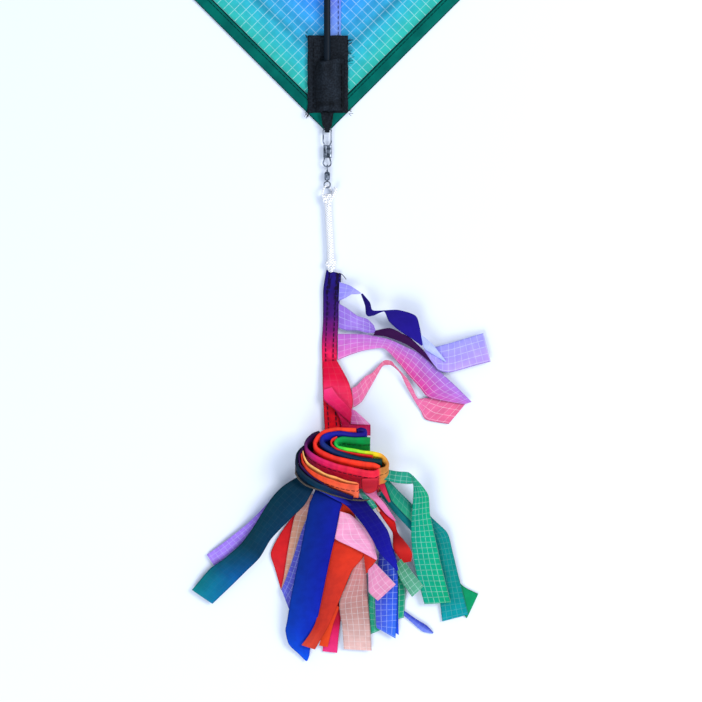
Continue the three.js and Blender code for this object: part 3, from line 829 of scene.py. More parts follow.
def sail():
    corners = [(0, NOSE_Y), (-HALF_SPAN, 0), (0, -HALF_SPAN), (HALF_SPAN, 0)]
    names = ("hem_upper_left", "hem_lower_left", "hem_lower_right", "hem_upper_right")
    hems = [hem(name, corners, i) for i, name in enumerate(names)]
    seam = centre_seam()
    for name, side, extras in (("left_panel", -1, hems[:2] + seam), ("right_panel", 1, hems[2:])):
        piece = panel(name, "sail_" + name, side)


# ---------------------------------------------------------------- corner reinforcements
class Corner:
    """A corner of the sail, with its tip at the local origin and the sail towards local +Y."""

    def __init__(self, name, x, y, turn, narrow_side=0, offset=0.0):
        self.name = name
        self.matrix = Matrix.Translation((x, y, 0)) @ Matrix.Rotation(turn, 4, "Z")
        self.narrow_side = narrow_side
        self.offset = offset

    def place(self, x, y, z):
        return self.matrix @ Vector((x, y, z))


def patch(corner):
    """The woven square under a pocket, with cut edges that waver a little."""
    shape = Shape()
    sections = []
    edge_slope = HALF_SPAN / NOSE_Y
    start, length = 12.2, 47
    rows, columns = 40, 20
    for i in range(rows + 1):
        y = start + length * i / rows
        left, right = -12.0, 12.7
        if corner.narrow_side:
            reach = min(12.5, y / edge_slope)
            left, right = (-12.5, reach) if corner.narrow_side > 0 else (-reach, 12.5)
        left += 0.35 * wander(y / 4, 1.0, corner.offset)
        right += 0.35 * wander(y / 4, 2.0, corner.offset)
        section = []
        for k in range(columns + 1):
            x = left + (right - left) * k / columns
            end = 0.35 * wander(x / 4, 3.0, i) if i in (0, rows) else 0
            z = 2.35 + 0.3 * wander(x / 6, y / 9, 4.0)
            section.append(shape.pair(corner.place(x, y + end, z), 1.55, (x, y)))
        sections.append(section)
    shape.slab(sections)
    shape.make(corner.name + "_backing", WEBBING, "kite", "black_webbing", corner.name + "_patch")


def pocket(corner):
    """A sleeve sewn down on both sides of the rod, gathered over its end and open at the mouth."""
    shape = Shape()
    sections = []
    columns, count = 40, 44
    for i in range(count + 1):
        section = []
        for k in range(columns + 1):
            across = -8.5 + 17 * k / columns
            x = across + corner.offset
            start = 12.8 + 0.5 * wander(x / 3, 6.0, 1.0)
            mouth = 43 + 0.13 * (across + 8.5) - 0.9 * math.exp(-((x / 2.6) ** 2))
            y = start + (mouth - start) * (i / count)
            lift = 4.25 / (1 + (abs(across + 0.6) / 5.5) ** 6)
            closing = 1 - 0.75 * math.exp(-((y - 12.8) / 1.1))
            crease = math.exp(-(((y - 17.5) / 1.1) ** 2)) * math.exp(-((x / 6) ** 4))
            soft = 0.5 * wander(x / 4, y / 7, 8.0)
            z = 3.5 + lift * closing - 0.9 * crease + soft
            # bright paints a highlight down the raised middle of the sleeve and painted shade in the crease,
            # carried as the tint.
            bright = 0.55 + 0.65 * math.exp(-(((across + 0.3) / 6.5) ** 6)) - 0.5 * crease + soft
            section.append((shape.point(corner.place(x, y, z), (x, y), dimmed(WHITE, bright)),
                            shape.point(corner.place(x, y, z - 0.75), (x, y))))
        sections.append(section)
    shape.slab(sections)
    shape.make(corner.name + "_sleeve", WEBBING, "kite", "black_webbing", corner.name + "_pocket")


def corner_trim(corner, frays):
    """Rows of stitches and the loose yarns of the cut edges."""
    shape = Shape()
    rows = [(7.0, 43, 4.35)]
    if not corner.narrow_side:
        rows.append((-10.2, 57, 3.0))
    for x, end, z in rows:
        x += corner.offset
        add_stitches(shape, corner.place(x, 14.5, z), corner.place(x, end, z), 3.4, 2.2, 0.2)
    rng = random.Random(len(corner.name))
    for x, y, reach_x, reach_y, count in frays:
        for _ in range(count):
            start = Vector((x + rng.uniform(-0.8, 0.8), y + rng.uniform(-1.5, 1.5), 2.2))
            way = Vector((reach_x, reach_y, 0)) * rng.uniform(0.5, 1.1)
            side = Vector((-way.y, way.x, 0)) * rng.uniform(-0.45, 0.45)
            path = [start, start + way * 0.5 + side * 0.5 + Vector((0, 0, 0.6)), start + way + side]
            add_tube(shape, [corner.place(*p) for p in smooth_path(path, 0.6)], 0.13, 5)
    shape.make(corner.name + "_stitches", THREAD, "kite", "black_webbing")


def corners():
    tail_frays = [(12.4, 55, 2.6, 1.2, 9), (12.4, 49, 2.4, 0.4, 6), (13, 43.5, 3.2, 0.3, 6),
                  (-12, 59, -0.8, 1.8, 6), (-11.5, 12.5, -1.6, -3.4, 10), (12.8, 13, 1.8, -0.8, 6)]
    few = [(12.2, 50, 2.2, 0.8, 5), (-12.2, 56, -1.8, 1.2, 5)]
    for corner, frays in (
        (Corner("nose", 0, NOSE_Y, math.pi), few),
        (Corner("left_wing", -HALF_SPAN, 0, -math.pi / 2, -1), few[:1]),
        (Corner("right_wing", HALF_SPAN, 0, math.pi / 2, 1), few[1:]),
        (Corner("tail", 0, -HALF_SPAN, 0, 0, 1.8), tail_frays),
    ):
        patch(corner)
        pocket(corner)
        corner_trim(corner, frays)


# ---------------------------------------------------------------- spars and the CAD pieces that stay
def spars():
    for name, start, end in (
        ("spine", (0, -HALF_SPAN + ROD_END), (0, NOSE_Y - ROD_END)),
        ("left_spreader", (-SPREADER_START, 0), (-HALF_SPAN + ROD_END, 0)),
        ("right_spreader", (SPREADER_START, 0), (HALF_SPAN - ROD_END, 0)),
    ):
        a, b = Vector((*start, ROD_Z)), Vector((*end, ROD_Z))
        path = [a.lerp(b, i / 60) for i in range(61)]
        tube(name, path, ROD_RADIUS, COMPOSITE, "kite", "spar", name + "_rod", sides=28)


def centre_fitting():
    """The CAD's own fitting, in plastic."""
    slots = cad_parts["centre_fitting"].data.materials
    slots.clear()
    slots.append(PLASTIC)


def tab_loop():
    """A woven ribbon folded round the snap's wire, crumpled and drawn in at the fold."""
    reach, height, thickness = 2.3, 1.05, 0.45
    front = [(-444.9, 3.5, 3.7), (-447, 4.1, 3.6), (-450, 4.2, 3.1), (-452.5, 4.1, 2.9), (-453.6, 3.95, 2.2)]
    around = [math.radians(a) for a in range(0, 181, 30)]
    fold = [(LINE_Y - reach * math.sin(a), LINE_Z + height * math.cos(a), 1.45) for a in around]
    back = [(y, 2 * LINE_Z - z, half) for y, z, half in reversed(front)]
    path = smooth_path(front + fold + back)
    shape = Shape()
    sections = []
    for n, (y, z, half) in enumerate(path):
        ahead, behind = path[min(n + 1, len(path) - 1)], path[max(n - 1, 0)]
        way = Vector((ahead[0] - behind[0], ahead[1] - behind[1])).normalized()
        section = []
        for k in range(13):
            x = half * (1 - k / 6) + 0.15 * wander(n / 5, k / 12, 2.0)
            rumple = 0.3 * wander(x / 1.6, n / 5, 9.0) * min(abs(y - LINE_Y) / 2, 1)
            # The tint is painted light and shade that follow the crumples: lighter where the cloth bulges
            # out, darker where it sinks.
            section.append([shape.point((x, y + way.y * out, z - way.x * out), (x, 0.3 * n),
                                        dimmed(WHITE, 0.85 + 1.2 * rumple))
                            for out in (thickness / 2 + rumple, rumple - thickness / 2)])
        sections.append(section)
    shape.slab(sections)
    shape.make("tab_loop", WEBBING, "kite", "black_webbing", "tail_tab")


def bridle_disc(name, y):
    """A round reinforcement of woven cloth with two holes, made as two halves that meet under the spine."""
    profile = [(0, 1.42), (0.5, 1.42), (0.96, 1.42), (1, 1.6), (0.96, 1.85), (0.85, 1.8), (0.7, 1.95),
               (0.3, 2.0), (0.08, 2.15), (0, 2.0)]
    shape = Shape()
    for side in (-1, 1):
        hole = Vector((side * BRIDLE_HOLE_X, 0))
        rows = []
        for share, z in profile:
            row = []
            for c, s in ring(48):
                way = Vector((c, s))
                along = hole.dot(way)
                reach = math.sqrt(along * along + BRIDLE_RADIUS ** 2 - BRIDLE_HOLE_X ** 2) - along
                if way.x * side < 0:
                    reach = min(reach, BRIDLE_HOLE_X / abs(way.x))
                at = hole + way * (BRIDLE_HOLE_RADIUS + (reach - BRIDLE_HOLE_RADIUS) * share)
                rise = 0.15 * wander(at.x / 5, at.y / 5, y) if z > 1.7 else 0
                row.append(shape.point((at.x, y + at.y, z + rise), tuple(at)))
            rows.append(row)
        shape.skin(rows + rows[:1], closed=True)
    shape.make("bridle_disc_" + name, WEBBING, "kite", "black_webbing", "bridle_patch_" + name)


def bridle_patches():
    """Both discs, and the ring of stitches that holds each one."""
    count, dash, radius, height, thread = 26, 0.6, 12.3, 2.0, 0.17
    shape = Shape()
    for name, y in BRIDLE_PATCHES.items():
        bridle_disc(name, y)
        for k in range(count):
            a, b = (2 * math.pi * (k + s) / count for s in (0.0, dash))
            path = [Vector((radius * math.cos(t), y + radius * math.sin(t), height))
                    for t in (a, (a + b) / 2, b)]
            add_tube(shape, path, thread, 6)
    shape.make("bridle_patch_stitches", THREAD, "kite", "black_webbing")


# ---------------------------------------------------------------- the band and its coil
def tail_band():
    stations = [(-4.5, 1.5, 4.5, -1, 1.9), (-5.5, -4, 4.3, -6, 2.2, 2.4), (-6.5, -12, 4, -12, 2.4, 2.2),
                (-6.5, -28, 3, -28, 2.0, 2.5), (-7.3, -43, 2.2, -44, 2.3, 2.1), (-7, -60, 2, -60, 2.1, 2.3),
                (-6.5, -78, 3, -78, 2.2), (-5.5, -96, 4.5, -96, 2.2), (-5, -110, 5, -110, 2)]
    stops = ("#1a1470 0.25:#201468 0.36:#3c1468 0.44:#741468 0.5:#b4185c 0.55:#e01c50 0.62:#d8142c "
             "#d00c14")
    ribbon("header_band", BAND_TOP, stations, stops, "", "band_cloth", "tail_band", cut=9.5, crown=0.35,
           thickness=1.5, material=BAND, across=10, ripple=0.5)
    loose = smooth_path([(7.2, -542.6, 3.0), (9.0, -543.4, 3.9), (10.4, -544.8, 3.6), (11.5, -546.3, 2.6)])
    tube("loose_thread", loose, 0.22, THREAD, "tail", "band_cloth", sides=6)


COIL_TOP = 21.5
RIM_SHIFT = 1.1
COIL_LEAN = 0.68
PLAIN_EDGE = 3.2  # millimetres down a wall that stay clear of the rows of thread


def coil_wall(name, rim, stops, thickness, *nodes, depth=21.0, end_depth=None, fall=0.0):
    """One turn of the wound band, on edge and leaning out, which can narrow and sink towards its end."""
    end_depth = end_depth or depth
    stops = stops_of(stops)
    levels = [d for d in (0, 0.35, 1.0, 2.0, 3.3, 5, 7, 9, 12, 15, 18, 21) if d < depth] + [depth]
    samples = sampled(rim, 1.2, 2)
    seed = len(name) * 3.7
    shape = Shape()
    sections = []
    along = 0
    previous = None
    for n, (share, (x, y)) in enumerate(samples):
        ahead = samples[min(n + 1, len(samples) - 1)][1]
        behind = samples[max(n - 1, 0)][1]
        tangent = Vector((ahead[0] - behind[0], ahead[1] - behind[1])).normalized()
        normal = Vector((-tangent.y, tangent.x))
        along += math.dist((x, y), previous) if previous else 0
        previous = (x, y)
        run = share / (len(rim) - 1)
        colour = colour_at(stops, run)
        narrowing = 1 + (end_depth / depth - 1) * run
        rise = -fall * run * run + 0.5 * wander(along / 9, seed, 0)
        sides = []
        for side in (1, -1):
            column = []
            for level in levels:
                d = level * narrowing
                puff = 0.3 if level == 0 else 0.72 if level < 0.5 else 1.0 if level < 5 else 0.8
                shift = normal * (side * puff * thickness / 2 + 0.25 * wander(along / 6, d / 5, seed))
                # face is painted light: it brightens the wall below its rim, up to 1.5 times the dye, where
                # the lamps barely reach.
                face = 1 + 0.5 * min(d / 4, 1)
                tint = tuple(min(c * face, 0.9) for c in colour[:3]) + (1.0,)
                place = (COIL_CENTRE[0] + x + shift.x,
                         COIL_CENTRE[1] + y + RIM_SHIFT - COIL_LEAN * d + shift.y,
                         max(COIL_TOP + rise - d, 0.4))
                column.append(shape.point(place, (max(d, PLAIN_EDGE) + 1.8, along), tint))
            sides.append(column)
        sections.append(sides[0][::-1] + sides[1])
    shape.bar(sections)
    declare_strip(shape.make(name, BAND, "tail", "band_cloth", *nodes), along)


def coil():
    main = [(16.5, 14.5), (10, 14.5), (6, 14.5), (0, 15), (-3, 14), (-4.5, 12), (-3, 9.5), (2, 8.5),
            (7.5, 7.5), (13, 6.5), (18, 6), (22.5, 5), (25.5, 2.5), (27, -0.5), (25.5, -3), (22, -4),
            (19, -5.5), (12.5, -5), (3, -3), (-5, -1), (-13, 2), (-19, 5.5), (-22, 8.5), (-22.5, 11.5),
            (-21, 14.5), (-18, 17), (-14, 18.5)]
    coil_wall("coil_turn_main", main,
              "#0a7c3c 0.15:#0c8c44 0.23:#20b444 0.27:#54d034 0.33:#98d828 0.39:#e4cc18 0.43:#e4a030 "
              "0.5:#b47436 0.575:#ac6c34 0.58:#d82438 0.69:#d8243e 0.77:#cc1c5c 0.81:#a01c6c 0.86:#5c1858 "
              "0.9:#341040 #140818", 2.0, "tail_band_coil")
    indigo = [(8.5, 19.6), (11, 20.2), (13.2, 19.4), (13.4, 17.7), (11, 17.1), (6, 17.2), (-2.5, 18),
              (-8.5, 17.3), (-12, 15.3), (-12.5, 12.5), (-9.5, 9.5), (-4, 6.7), (3.5, 4.2), (12, 2.2),
              (19, 1.5), (23.5, 1)]
    coil_wall("coil_turn_indigo", indigo,
              "#120a48 0.2:#1a1270 0.5:#181c90 0.65:#0c2868 0.78:#052444 #02302e", 2.7)
    inner = [(-3.5, 15.5), (-6.5, 14), (-7.2, 12), (-5, 9.3), (0, 7), (8.5, 5.4), (18, 3.8)]
    coil_wall("coil_turn_inner", inner, "#e03028 #c82020", 0.9)
    red = [(8, 20), (2, 20.2), (-5, 20.4), (-11, 19), (-15, 16), (-17, 12.5), (-16, 9.3), (-12, 6.3),
           (-5, 3.4), (4, 1.2), (12.5, 0), (19, -1), (22, -2.5)]
    coil_wall("coil_turn_red", red, "#e84428 0.3:#dc3022 0.6:#dc2c20 #e43c24", 2.2)
    folded = [(-24, 7), (-23.5, 4), (-21.5, 0.5), (-18, -2.5), (-13, -5.5), (-8.5, -7.5), (-2.5, -9.5),
              (4, -11.5), (8.2, -12.4), (9.3, -13.0), (8.8, -13.9), (5.5, -13.6), (-0.5, -12.5),
              (-8.5, -10), (-14.5, -7.5), (-18, -5.5), (-22, -2.5), (-24.5, 1.5), (-25, 5.5)]
    coil_wall("coil_turn_folded", folded,
              "#e0a060 0.1:#f4c070 0.3:#f0a45c 0.45:#ec7a4c 0.5:#e85c40 0.7:#e05030 0.85:#d84024 #c82c20",
              0.9, depth=13.0)
    plum = [(-24, 8.5), (-26.4, 4.5), (-26, -0.5), (-22.5, -5), (-17.5, -9.5), (-9, -15)]
    coil_wall("coil_turn_plum", plum, "#2a1038 #301444 #201450", 1.0, depth=11.0, end_depth=4.0, fall=5.0)
    navy = [(-23.3, 10), (-27.5, 5.5), (-28, 1), (-27, -3), (-21.5, -8.7), (-15, -12.8), (-8, -16), (0, -19),
            (6, -21.5)]
    coil_wall("coil_turn_navy", navy, "#050a18 0.4:#04202e 0.7:#062c44 0.85:#0a1048 #0c0c40", 1.5, depth=10.0,
              end_depth=3.5, fall=8.0)

    tongue = [(11.2, -9, 21.4, -8.6, 16.6, 17), (11, -12.3, 21.5, -12, 11.9, 12.2),
              (11.5, -15.4, 21.2, -15, 9, 9.2), (13, -17.4, 19.8, -17, 8, 8.2),
              (15.2, -18.4, 17.6, -18.2, 7.6, 7.7)]
    ribbon("red_tongue", COIL_CENTRE, tongue, "#c4263a 0.3:#b6222e #ae1e2a", "", "band_cloth",
           grid=0.0, cut=1.5, crown=0.4, thickness=0.8, material=BAND, ripple=0.2)
    loop = [(-28.4, -6, 15.5), (-26.4, -9.6, 15), (-22.6, -12.9, 14.6), (-18, -14.8, 14.2),
            (-13.6, -16.2, 13.8), (-7.6, -18.6, 13), (-1.7, -20.2, 12.4), (5.8, -22, 11.2),
            (12.8, -22.6, 9.8), (21, -21.5, 6), (27, -16, 4), (26.5, -9, 3), (18, -4, 2.2), (4, -2, 2),
            (-12, -1, 2.2), (-24, 0, 5), (-28.3, -2, 11)]
    placed = [(COIL_CENTRE[0] + x, COIL_CENTRE[1] + y, z) for x, y, z in loop]
    path = smooth_path(placed + placed[:1], 1.0)[:-1]
    tube("elastic_loop", path, 0.6, ELASTIC, "tail", "elastic", "elastic_band", sides=10, closed=True)


# ---------------------------------------------------------------- streamers
def streamer(origin, fine, name, stations, near, far="", grid=1.0, cut=14.0, colour=""):
    """A streamer that stands for its CAD node of the same name, or a bend or a scrap beside one.

    Unless it is given, the colour is the end of streamer_NUMBER_COLOUR or the first word of another name.
    fine sets how finely the grid is drawn: it scales the cloth coordinates along the strip and across it.
    """
    own_node = name.startswith("streamer_")
    colour = colour or (name.split("_", 2)[2] if own_node else name.split("_")[0])
    nodes = [name] if own_node else []
    ribbon(name + "_cloth", origin, stations, near, far, "cloth_" + colour, *nodes,
           grid=0.7 * grid, cut=cut * fine, fine=fine)


def upper_streamers():
    add = functools.partial(streamer, BAND_TOP, 1.25)
    add("streamer_01_lavender",
        [(56, -46.5, 55, -48, 6.5, 6), (61.5, -45.5, 63.5, -59.5, 6, 5.5), (71, -43, 71, -61, 5.5, 5),
        (81, -40, 85.5, -57, 4.5, 4), (91, -37, 95.5, -54.5, 3)],
        "#8c88e4 #9490e4", "#a08ce0 #b090e0", cut=17)
    add("lavender_root",
        [(3.5, -6, 3, -17.5, 3.5, 3), (9.5, -8, 7.5, -15.5, 5, 4), (13.5, -10.5, 11, -13.5, 6.5, 5.5),
        (17, -13, 15, -13.5, 7.5, 7)], "#8a80e0 #a8a4f0")
    # The twist is coloured dark indigo: painted shade on the lavender cloth where it stands steep.
    add("lavender_twist",
        [(17.5, -13, 16.5, -13.5, 7.5, 7), (22, -18.5, 19, -20.5, 9.5, 7.5),
         (23, -22.5, 19.5, -25.5, 10, 7.5),
        (24.5, -23.5, 21, -27, 10, 7.5), (28, -23.5, 24.5, -26.5, 10, 8), (38.5, -23, 30.5, -24, 10, 9),
        (46.5, -25, 33.5, -30, 10, 8), (50.5, -27.5, 39.5, -35.5, 9.5, 7.5), (52.5, -35, 46.5, -40, 9, 7.5),
        (54, -44, 53.5, -45, 8, 7.5)], "#1c1060 #1c1070 #201488", grid=0)
    add("lavender_fold",
        [(53.5, -38.5, 53, -39.5, 8.5, 8), (55.5, -40, 54.5, -46, 8.5, 7.5), (61, -45, 58.5, -49, 8, 7.5),
        (65, -50, 61, -50.5, 7.5, 7), (68.5, -54.5, 67.5, -54.5, 7, 6.8)], "#a8b4f4 #b0b8f4", grid=0.5)
    add("streamer_02_plum",
        [(3, -19, 3, -34, 2.6), (7.5, -21.5, 8, -35.5, 4, 3.5), (14.5, -26.5, 14.5, -35.5, 5, 4.5),
        (20.5, -28.5, 20.5, -37, 5.5, 5), (24.5, -32.5, 26, -37, 6, 5.5)], "#8c68cc #9a78d4 #8060c0", cut=15)
    # The twist is coloured near black: painted shade on the plum cloth where it turns over.
    add("plum_twist",
        [(25.5, -35.5, 24, -38.5, 6, 5.5), (34, -34, 30.5, -39, 7.5, 5.5), (41, -37, 37, -41, 7, 5.2),
        (46.5, -40, 44, -44, 6.8, 5.2), (54.5, -47.5, 51, -48.5, 6, 5.2), (59, -53.5, 57.5, -54, 5.5, 5),
        (63.5, -59, 63, -59, 5, 4.8)], "#300c3c #380e48", grid=0)
    add("streamer_03_pink",
        [(2.5, -37.5, 2.5, -53.5, 2.6), (11, -37.5, 11, -50, 3.2, 2.8), (20, -38, 19.5, -47.5, 3.6, 3),
        (34, -41, 30.5, -46.5, 4, 3.2), (45, -46, 40, -56, 4, 3.2), (52.5, -49.5, 44.5, -61.5, 4, 3.2),
        (63.5, -59.5, 52.5, -70.5, 3.8, 3.2), (73.5, -68.5, 58.5, -76.5, 3.6, 3),
        (84, -79, 79.5, -80.5, 2.8, 2.6)], "#b060c0 0.4:#a868c4 0.7:#9470cc #a870d0",
        "#d468b4 0.35:#cc70c0 0.5:#d4448c 0.8:#cc3488 #b860b8", cut=17)
    add("streamer_04_rose",
        [(11, -70.5, 12, -82.5, 2.6, 2.4), (14, -69, 17, -79, 2.8, 2.2), (19, -63.5, 21.5, -71.5, 3.5, 2.4),
        (23, -61.5, 25.5, -64.5, 4, 3), (29, -55, 29.5, -57.5, 4.5, 3.5),
        (31.5, -53.5, 31.5, -56.5, 4.5, 3.5),
        (35, -54, 34.5, -56.5, 4.5, 3.5), (38, -57.5, 38, -59, 4.2, 3.4), (44.5, -64.5, 41, -62.5, 3.2, 3.4),
        (48, -70.5, 44, -69, 2.2, 2.6), (51.5, -77, 49, -78, 1.4, 1.8), (58.5, -76.5, 53, -84.5, 1.2),
        (69.5, -78.5, 56.5, -90, 1.3, 1.2), (80, -80.5, 70, -92.5, 1.6, 1.2)],
        "#dc64a0 0.25:#d86890 0.45:#cc5c80 0.6:#d4648c 0.8:#dc689c #d86088", cut=13)
    add("streamer_05_crimson",
        [(-6.5, -54.5, 2, -54, 3.4), (-6.5, -60, 5.5, -60, 3.8, 3.6), (-6.5, -68.5, 9.5, -68, 4.2, 3.6),
        (-6.3, -77.5, 11.7, -77.5, 4.2, 3.8), (0.5, -83.5, 11.2, -84, 4.4, 3.8),
        (3.4, -88.5, 11, -90, 4, 3.4),
        (4.5, -93, 22.4, -93, 3.6, 3.2), (4.5, -100, 22.4, -99.5, 3.2, 3)],
        "#cc0c34 0.2:#cc0c38 0.3:#e02858 0.56:#e42c74 0.66:#c81450 0.8:#a80e3c #a00c34",
        "#c40c30 0.25:#cc1038 0.33:#e02c50 0.6:#e02850 0.82:#c01a54 #c02860", grid=0.08)
    add("crimson_fold",
        [(-6.1, -71.5, -1, -70, 5, 5.2), (-6.2, -77, 3, -75.5, 5.4, 6), (0.5, -83, 7.6, -80, 5.6, 6),
        (10, -91.5, 11.4, -84.5, 5)], "#f0387c 0.2:#ec2c74 0.5:#dc2060 #c41448", "#e83c70 #d82058 #cc1848",
        grid=0.06, cut=9, colour="rose")
    add("rose_fold",
        [(10.9, -83, 13.5, -84.5, 5.4, 5), (10.6, -88, 18, -88.6, 5.4, 4.8),
        (10.4, -92.4, 22.4, -92.8, 5, 4.6)], "#c458a0 #c0549c", "#d070b0 #dc8cbc", cut=11)


def lower_streamers():
    add = functools.partial(streamer, COIL_CENTRE, 1.45)
    add("streamer_06_teal",
        [(-26, -7.5, -17.5, -15, 9), (-36, -13.5, -23, -25, 12, 11), (-44, -22, -31.5, -33.5, 12, 10.5),
        (-54.5, -39, -43.5, -46, 10, 8.5), (-62, -49, -50.5, -57.5, 8.5, 7), (-72, -58, -59, -66, 7, 5.5),
        (-81, -64.5, -67.5, -74.5, 5.5, 4), (-92, -77.5, -79.5, -86, 3, 2.5)],
        "#022434 0.55:#03303c 0.8:#04485c #087478", "#032844 0.55:#04304e 0.8:#065090 #0a7098", grid=0.03,
        cut=17)
    add("streamer_07_lilac",
        [(-43.5, -22, -35.5, -29.5, 7, 6.5), (-52, -31, -46, -36.5, 6, 5.5), (-60, -38.5, -53, -44.5, 5, 4.6),
        (-74, -49.5, -67.5, -57.5, 3.2, 3), (-83, -56, -78, -63.5, 1.6, 1.4)], "#8866d8 #a07ce4")
    add("streamer_08_red",
        [(-22, -18, -14, -22, 2), (-28, -29, -17, -33, 2), (-38, -43, -22.5, -45, 1.8),
        (-44, -55, -26, -57.5, 1.4, 1.6), (-41.5, -64.5, -26, -67, 1.2, 1.4), (-38, -77, -31, -78, 1)],
        "#a81420 #cc2024 #c82430", grid=0, cut=15)
    add("streamer_09_peach",
        [(-22, -18.5, -15, -20.5, 7.6, 7.4), (-24, -26, -16.5, -28, 6.4, 6.2), (-29.2, -32.5, -18, -34, 4),
        (-33.2, -51.5, -22, -52, 3.2), (-36, -69.5, -28.5, -72, 2.6), (-37.8, -77.5, -33, -79.5, 2.2)],
        "#b07c80 #c08c78 #cc9480", cut=11)
    add("streamer_10_lavender",
        [(-18.5, -18.5, -10, -24, 8, 7.6), (-20.5, -29.5, -13, -33, 6.6), (-25.5, -42.2, -15, -44.5, 5.6),
        (-30.3, -57.5, -20, -60, 4.6), (-35, -71, -25, -75, 3.6), (-37.5, -77, -33, -89, 3, 2.8)],
        "#4c48b0 #5c5cc4", cut=13)
    add("streamer_11_blue",
        [(-16.5, -15.5, -2, -22.5, 9.5), (-18.5, -20.5, -0.5, -25, 11, 10.6),
         (-20.5, -25.5, -2, -29.5, 11, 10),
        (-24, -44, -4.5, -43.5, 10.5, 10), (-28, -64, -8.5, -61, 9.5, 9), (-31.5, -81, -13, -83, 8, 7.5),
        (-34, -96.5, -16, -97, 6, 5.8), (-35, -102, -19, -105, 5, 4.8), (-33, -110.5, -20, -113.5, 3.6, 3.4),
        (-27.5, -116, -20.5, -117.5, 2.6), (-22.5, -121, -21.5, -120.5, 2)],
        "#041c5c 0.4:#04287c 0.7:#0438a4 #0850d8", "#0c1888 0.4:#0e1690 0.7:#0c2ab4 #0850d8", grid=0, cut=19)
    add("blue_fold_edge",
        [(-19, -14.5, -15.5, -12.5, 11), (-12, -18, -9, -15.6, 12), (-3.5, -22.5, -1.5, -19.5, 12),
        (4.5, -26.5, 5.5, -24.5, 11.6)], "#1c34c0 #222cac #1c1c8c", "#0e1070 #0a0a50", grid=0, cut=4)
    add("streamer_12_coral",
        [(-5, -21, 4, -24, 7), (-5, -31, 8, -34, 7.2, 7), (-7.5, -50.5, 13.2, -54.5, 7.4, 7),
        (-10.5, -66, 5.5, -65.5, 7, 6.6), (-13, -78, 0.5, -77.5, 6.2, 6), (-15, -90, -5, -90.5, 5.7, 5.2),
        (-16.9, -97.5, -8.5, -98.5, 6.9, 5.8), (-20.6, -104.4, -12.7, -106, 7, 6),
        (-25.2, -110.6, -17, -113.5, 6.4, 5.6)], "#dc3418 0.2:#c42c18 0.5:#a82a20 0.8:#a82a20 #c44434",
        "#dc3418 0.3:#d43420 0.5:#c02e20 0.8:#b83020 #c03c2c", grid=0, cut=16)
    add("coral_lower_layer",
        [(-8, -84, -2, -88, 3.4), (-11, -98, -5.8, -98, 3.2), (-14.6, -111.4, -9.2, -112.2, 3)],
        "#c8341c #d4401c", grid=0, cut=6)
    add("coral_fold",
        [(12, -52.5, 21, -57.8, 7.8, 8.6), (13, -59.5, 18.6, -61.5, 7.4, 8), (14, -67, 15.4, -66.4, 7)],
        "#c02c1c #c42c20", grid=0, cut=8)
    add("streamer_13_hot_pink",
        [(-8, -84, 0, -86.5, 2.6), (-11, -100, -2, -100, 2), (-12.5, -115, -3.5, -116, 1.2)],
        "#7c0608 0.4:#a81030 0.6:#d01c58 #dc3478", grid=0, cut=9)
    add("streamer_14_pink",
        [(-1.7, -29.3, 4.5, -31, 9), (-3.4, -38, 12, -37.6, 9.6, 9.2), (-5, -45.5, 17.8, -45, 9.8, 9.2),
        (5, -50.8, 19.8, -52, 9.4, 9), (13, -54.8, 20.5, -56, 9.2, 9), (20.2, -58.8, 20.9, -58.2, 9, 8.8)],
        "#e294b8 #e294bc #e490bc", cut=15)
    add("pink_lower_flap",
        [(15.2, -65, 19.6, -60.6, 8, 8.2), (15.4, -70, 22.5, -63.6, 8, 8.2), (15.5, -78, 27.5, -68.8, 8),
        (21.2, -83.7, 32.1, -73.7, 7.6, 7.2)], "#cc7ca4 #d488ac")
    add("streamer_15_beige",
        [(10.5, -53.5, 13.5, -55, 5.2), (3.5, -71, 14.5, -71, 4.6), (-2, -85, 15, -82.5, 4.2),
        (-0.5, -100, 16.5, -100, 3.6), (0.5, -113.5, 17.5, -114.5, 2.6)],
        "#c87478 0.3:#b87c7c 0.6:#a87c78 0.85:#c8a09c #dcb0ac", cut=17)
    add("streamer_16_indigo",
        [(-9, -17, 8, -19.5, 9, 8.5), (-2, -23, 14, -22.8, 10.5, 10), (3.5, -27, 16, -25.5, 12, 11.6),
        (12, -37, 22, -33, 12.8, 12.2), (18, -46.5, 27.5, -41.5, 12.4, 11.8),
        (21.5, -53.5, 30, -51, 12, 11.5),
        (29.5, -62, 32.5, -60, 11.2, 11), (33, -65.5, 33.5, -64.5, 10.5)],
        "#0a0a48 0.4:#0e0a6c 0.7:#130f84 #1618a4", grid=0.03, cut=12)
    add("streamer_17_cobalt",
        [(22.5, -50.5, 31, -52.5, 6), (20.5, -67, 33.5, -64, 5.4), (19.5, -82.5, 33, -82.5, 4.8),
        (20, -98, 32.5, -97, 4), (20.5, -100.5, 32, -107, 3.4, 3.2)],
        "#20207c 0.3:#343cac 0.6:#4048b8 #4858c8",
        "#2438a8 #2c54cc #3870e0", cut=13)
    add("cobalt_behind",
        [(26, -74, 33.6, -74, 3.4), (26, -92, 33.6, -92, 3), (30.5, -102.5, 34, -105, 2.8)],
        "#1434a8 #1c48d0",
        grid=0, cut=7)
    add("streamer_18_mint",
        [(16, -75, 22.5, -75, 1.8), (15.5, -84, 22.5, -87, 1.6), (17, -104.5, 23, -102, 1.2)],
        "#30a484 #2c9c7c", cut=8)
    add("streamer_19_jade",
        [(28.5, -63, 33.5, -64.5, 3.2), (28.5, -78, 38, -77, 2.6), (28.5, -96, 37, -94.5, 1.8)],
        "#0c6848 0.4:#107c5c #1c9474", cut=11)
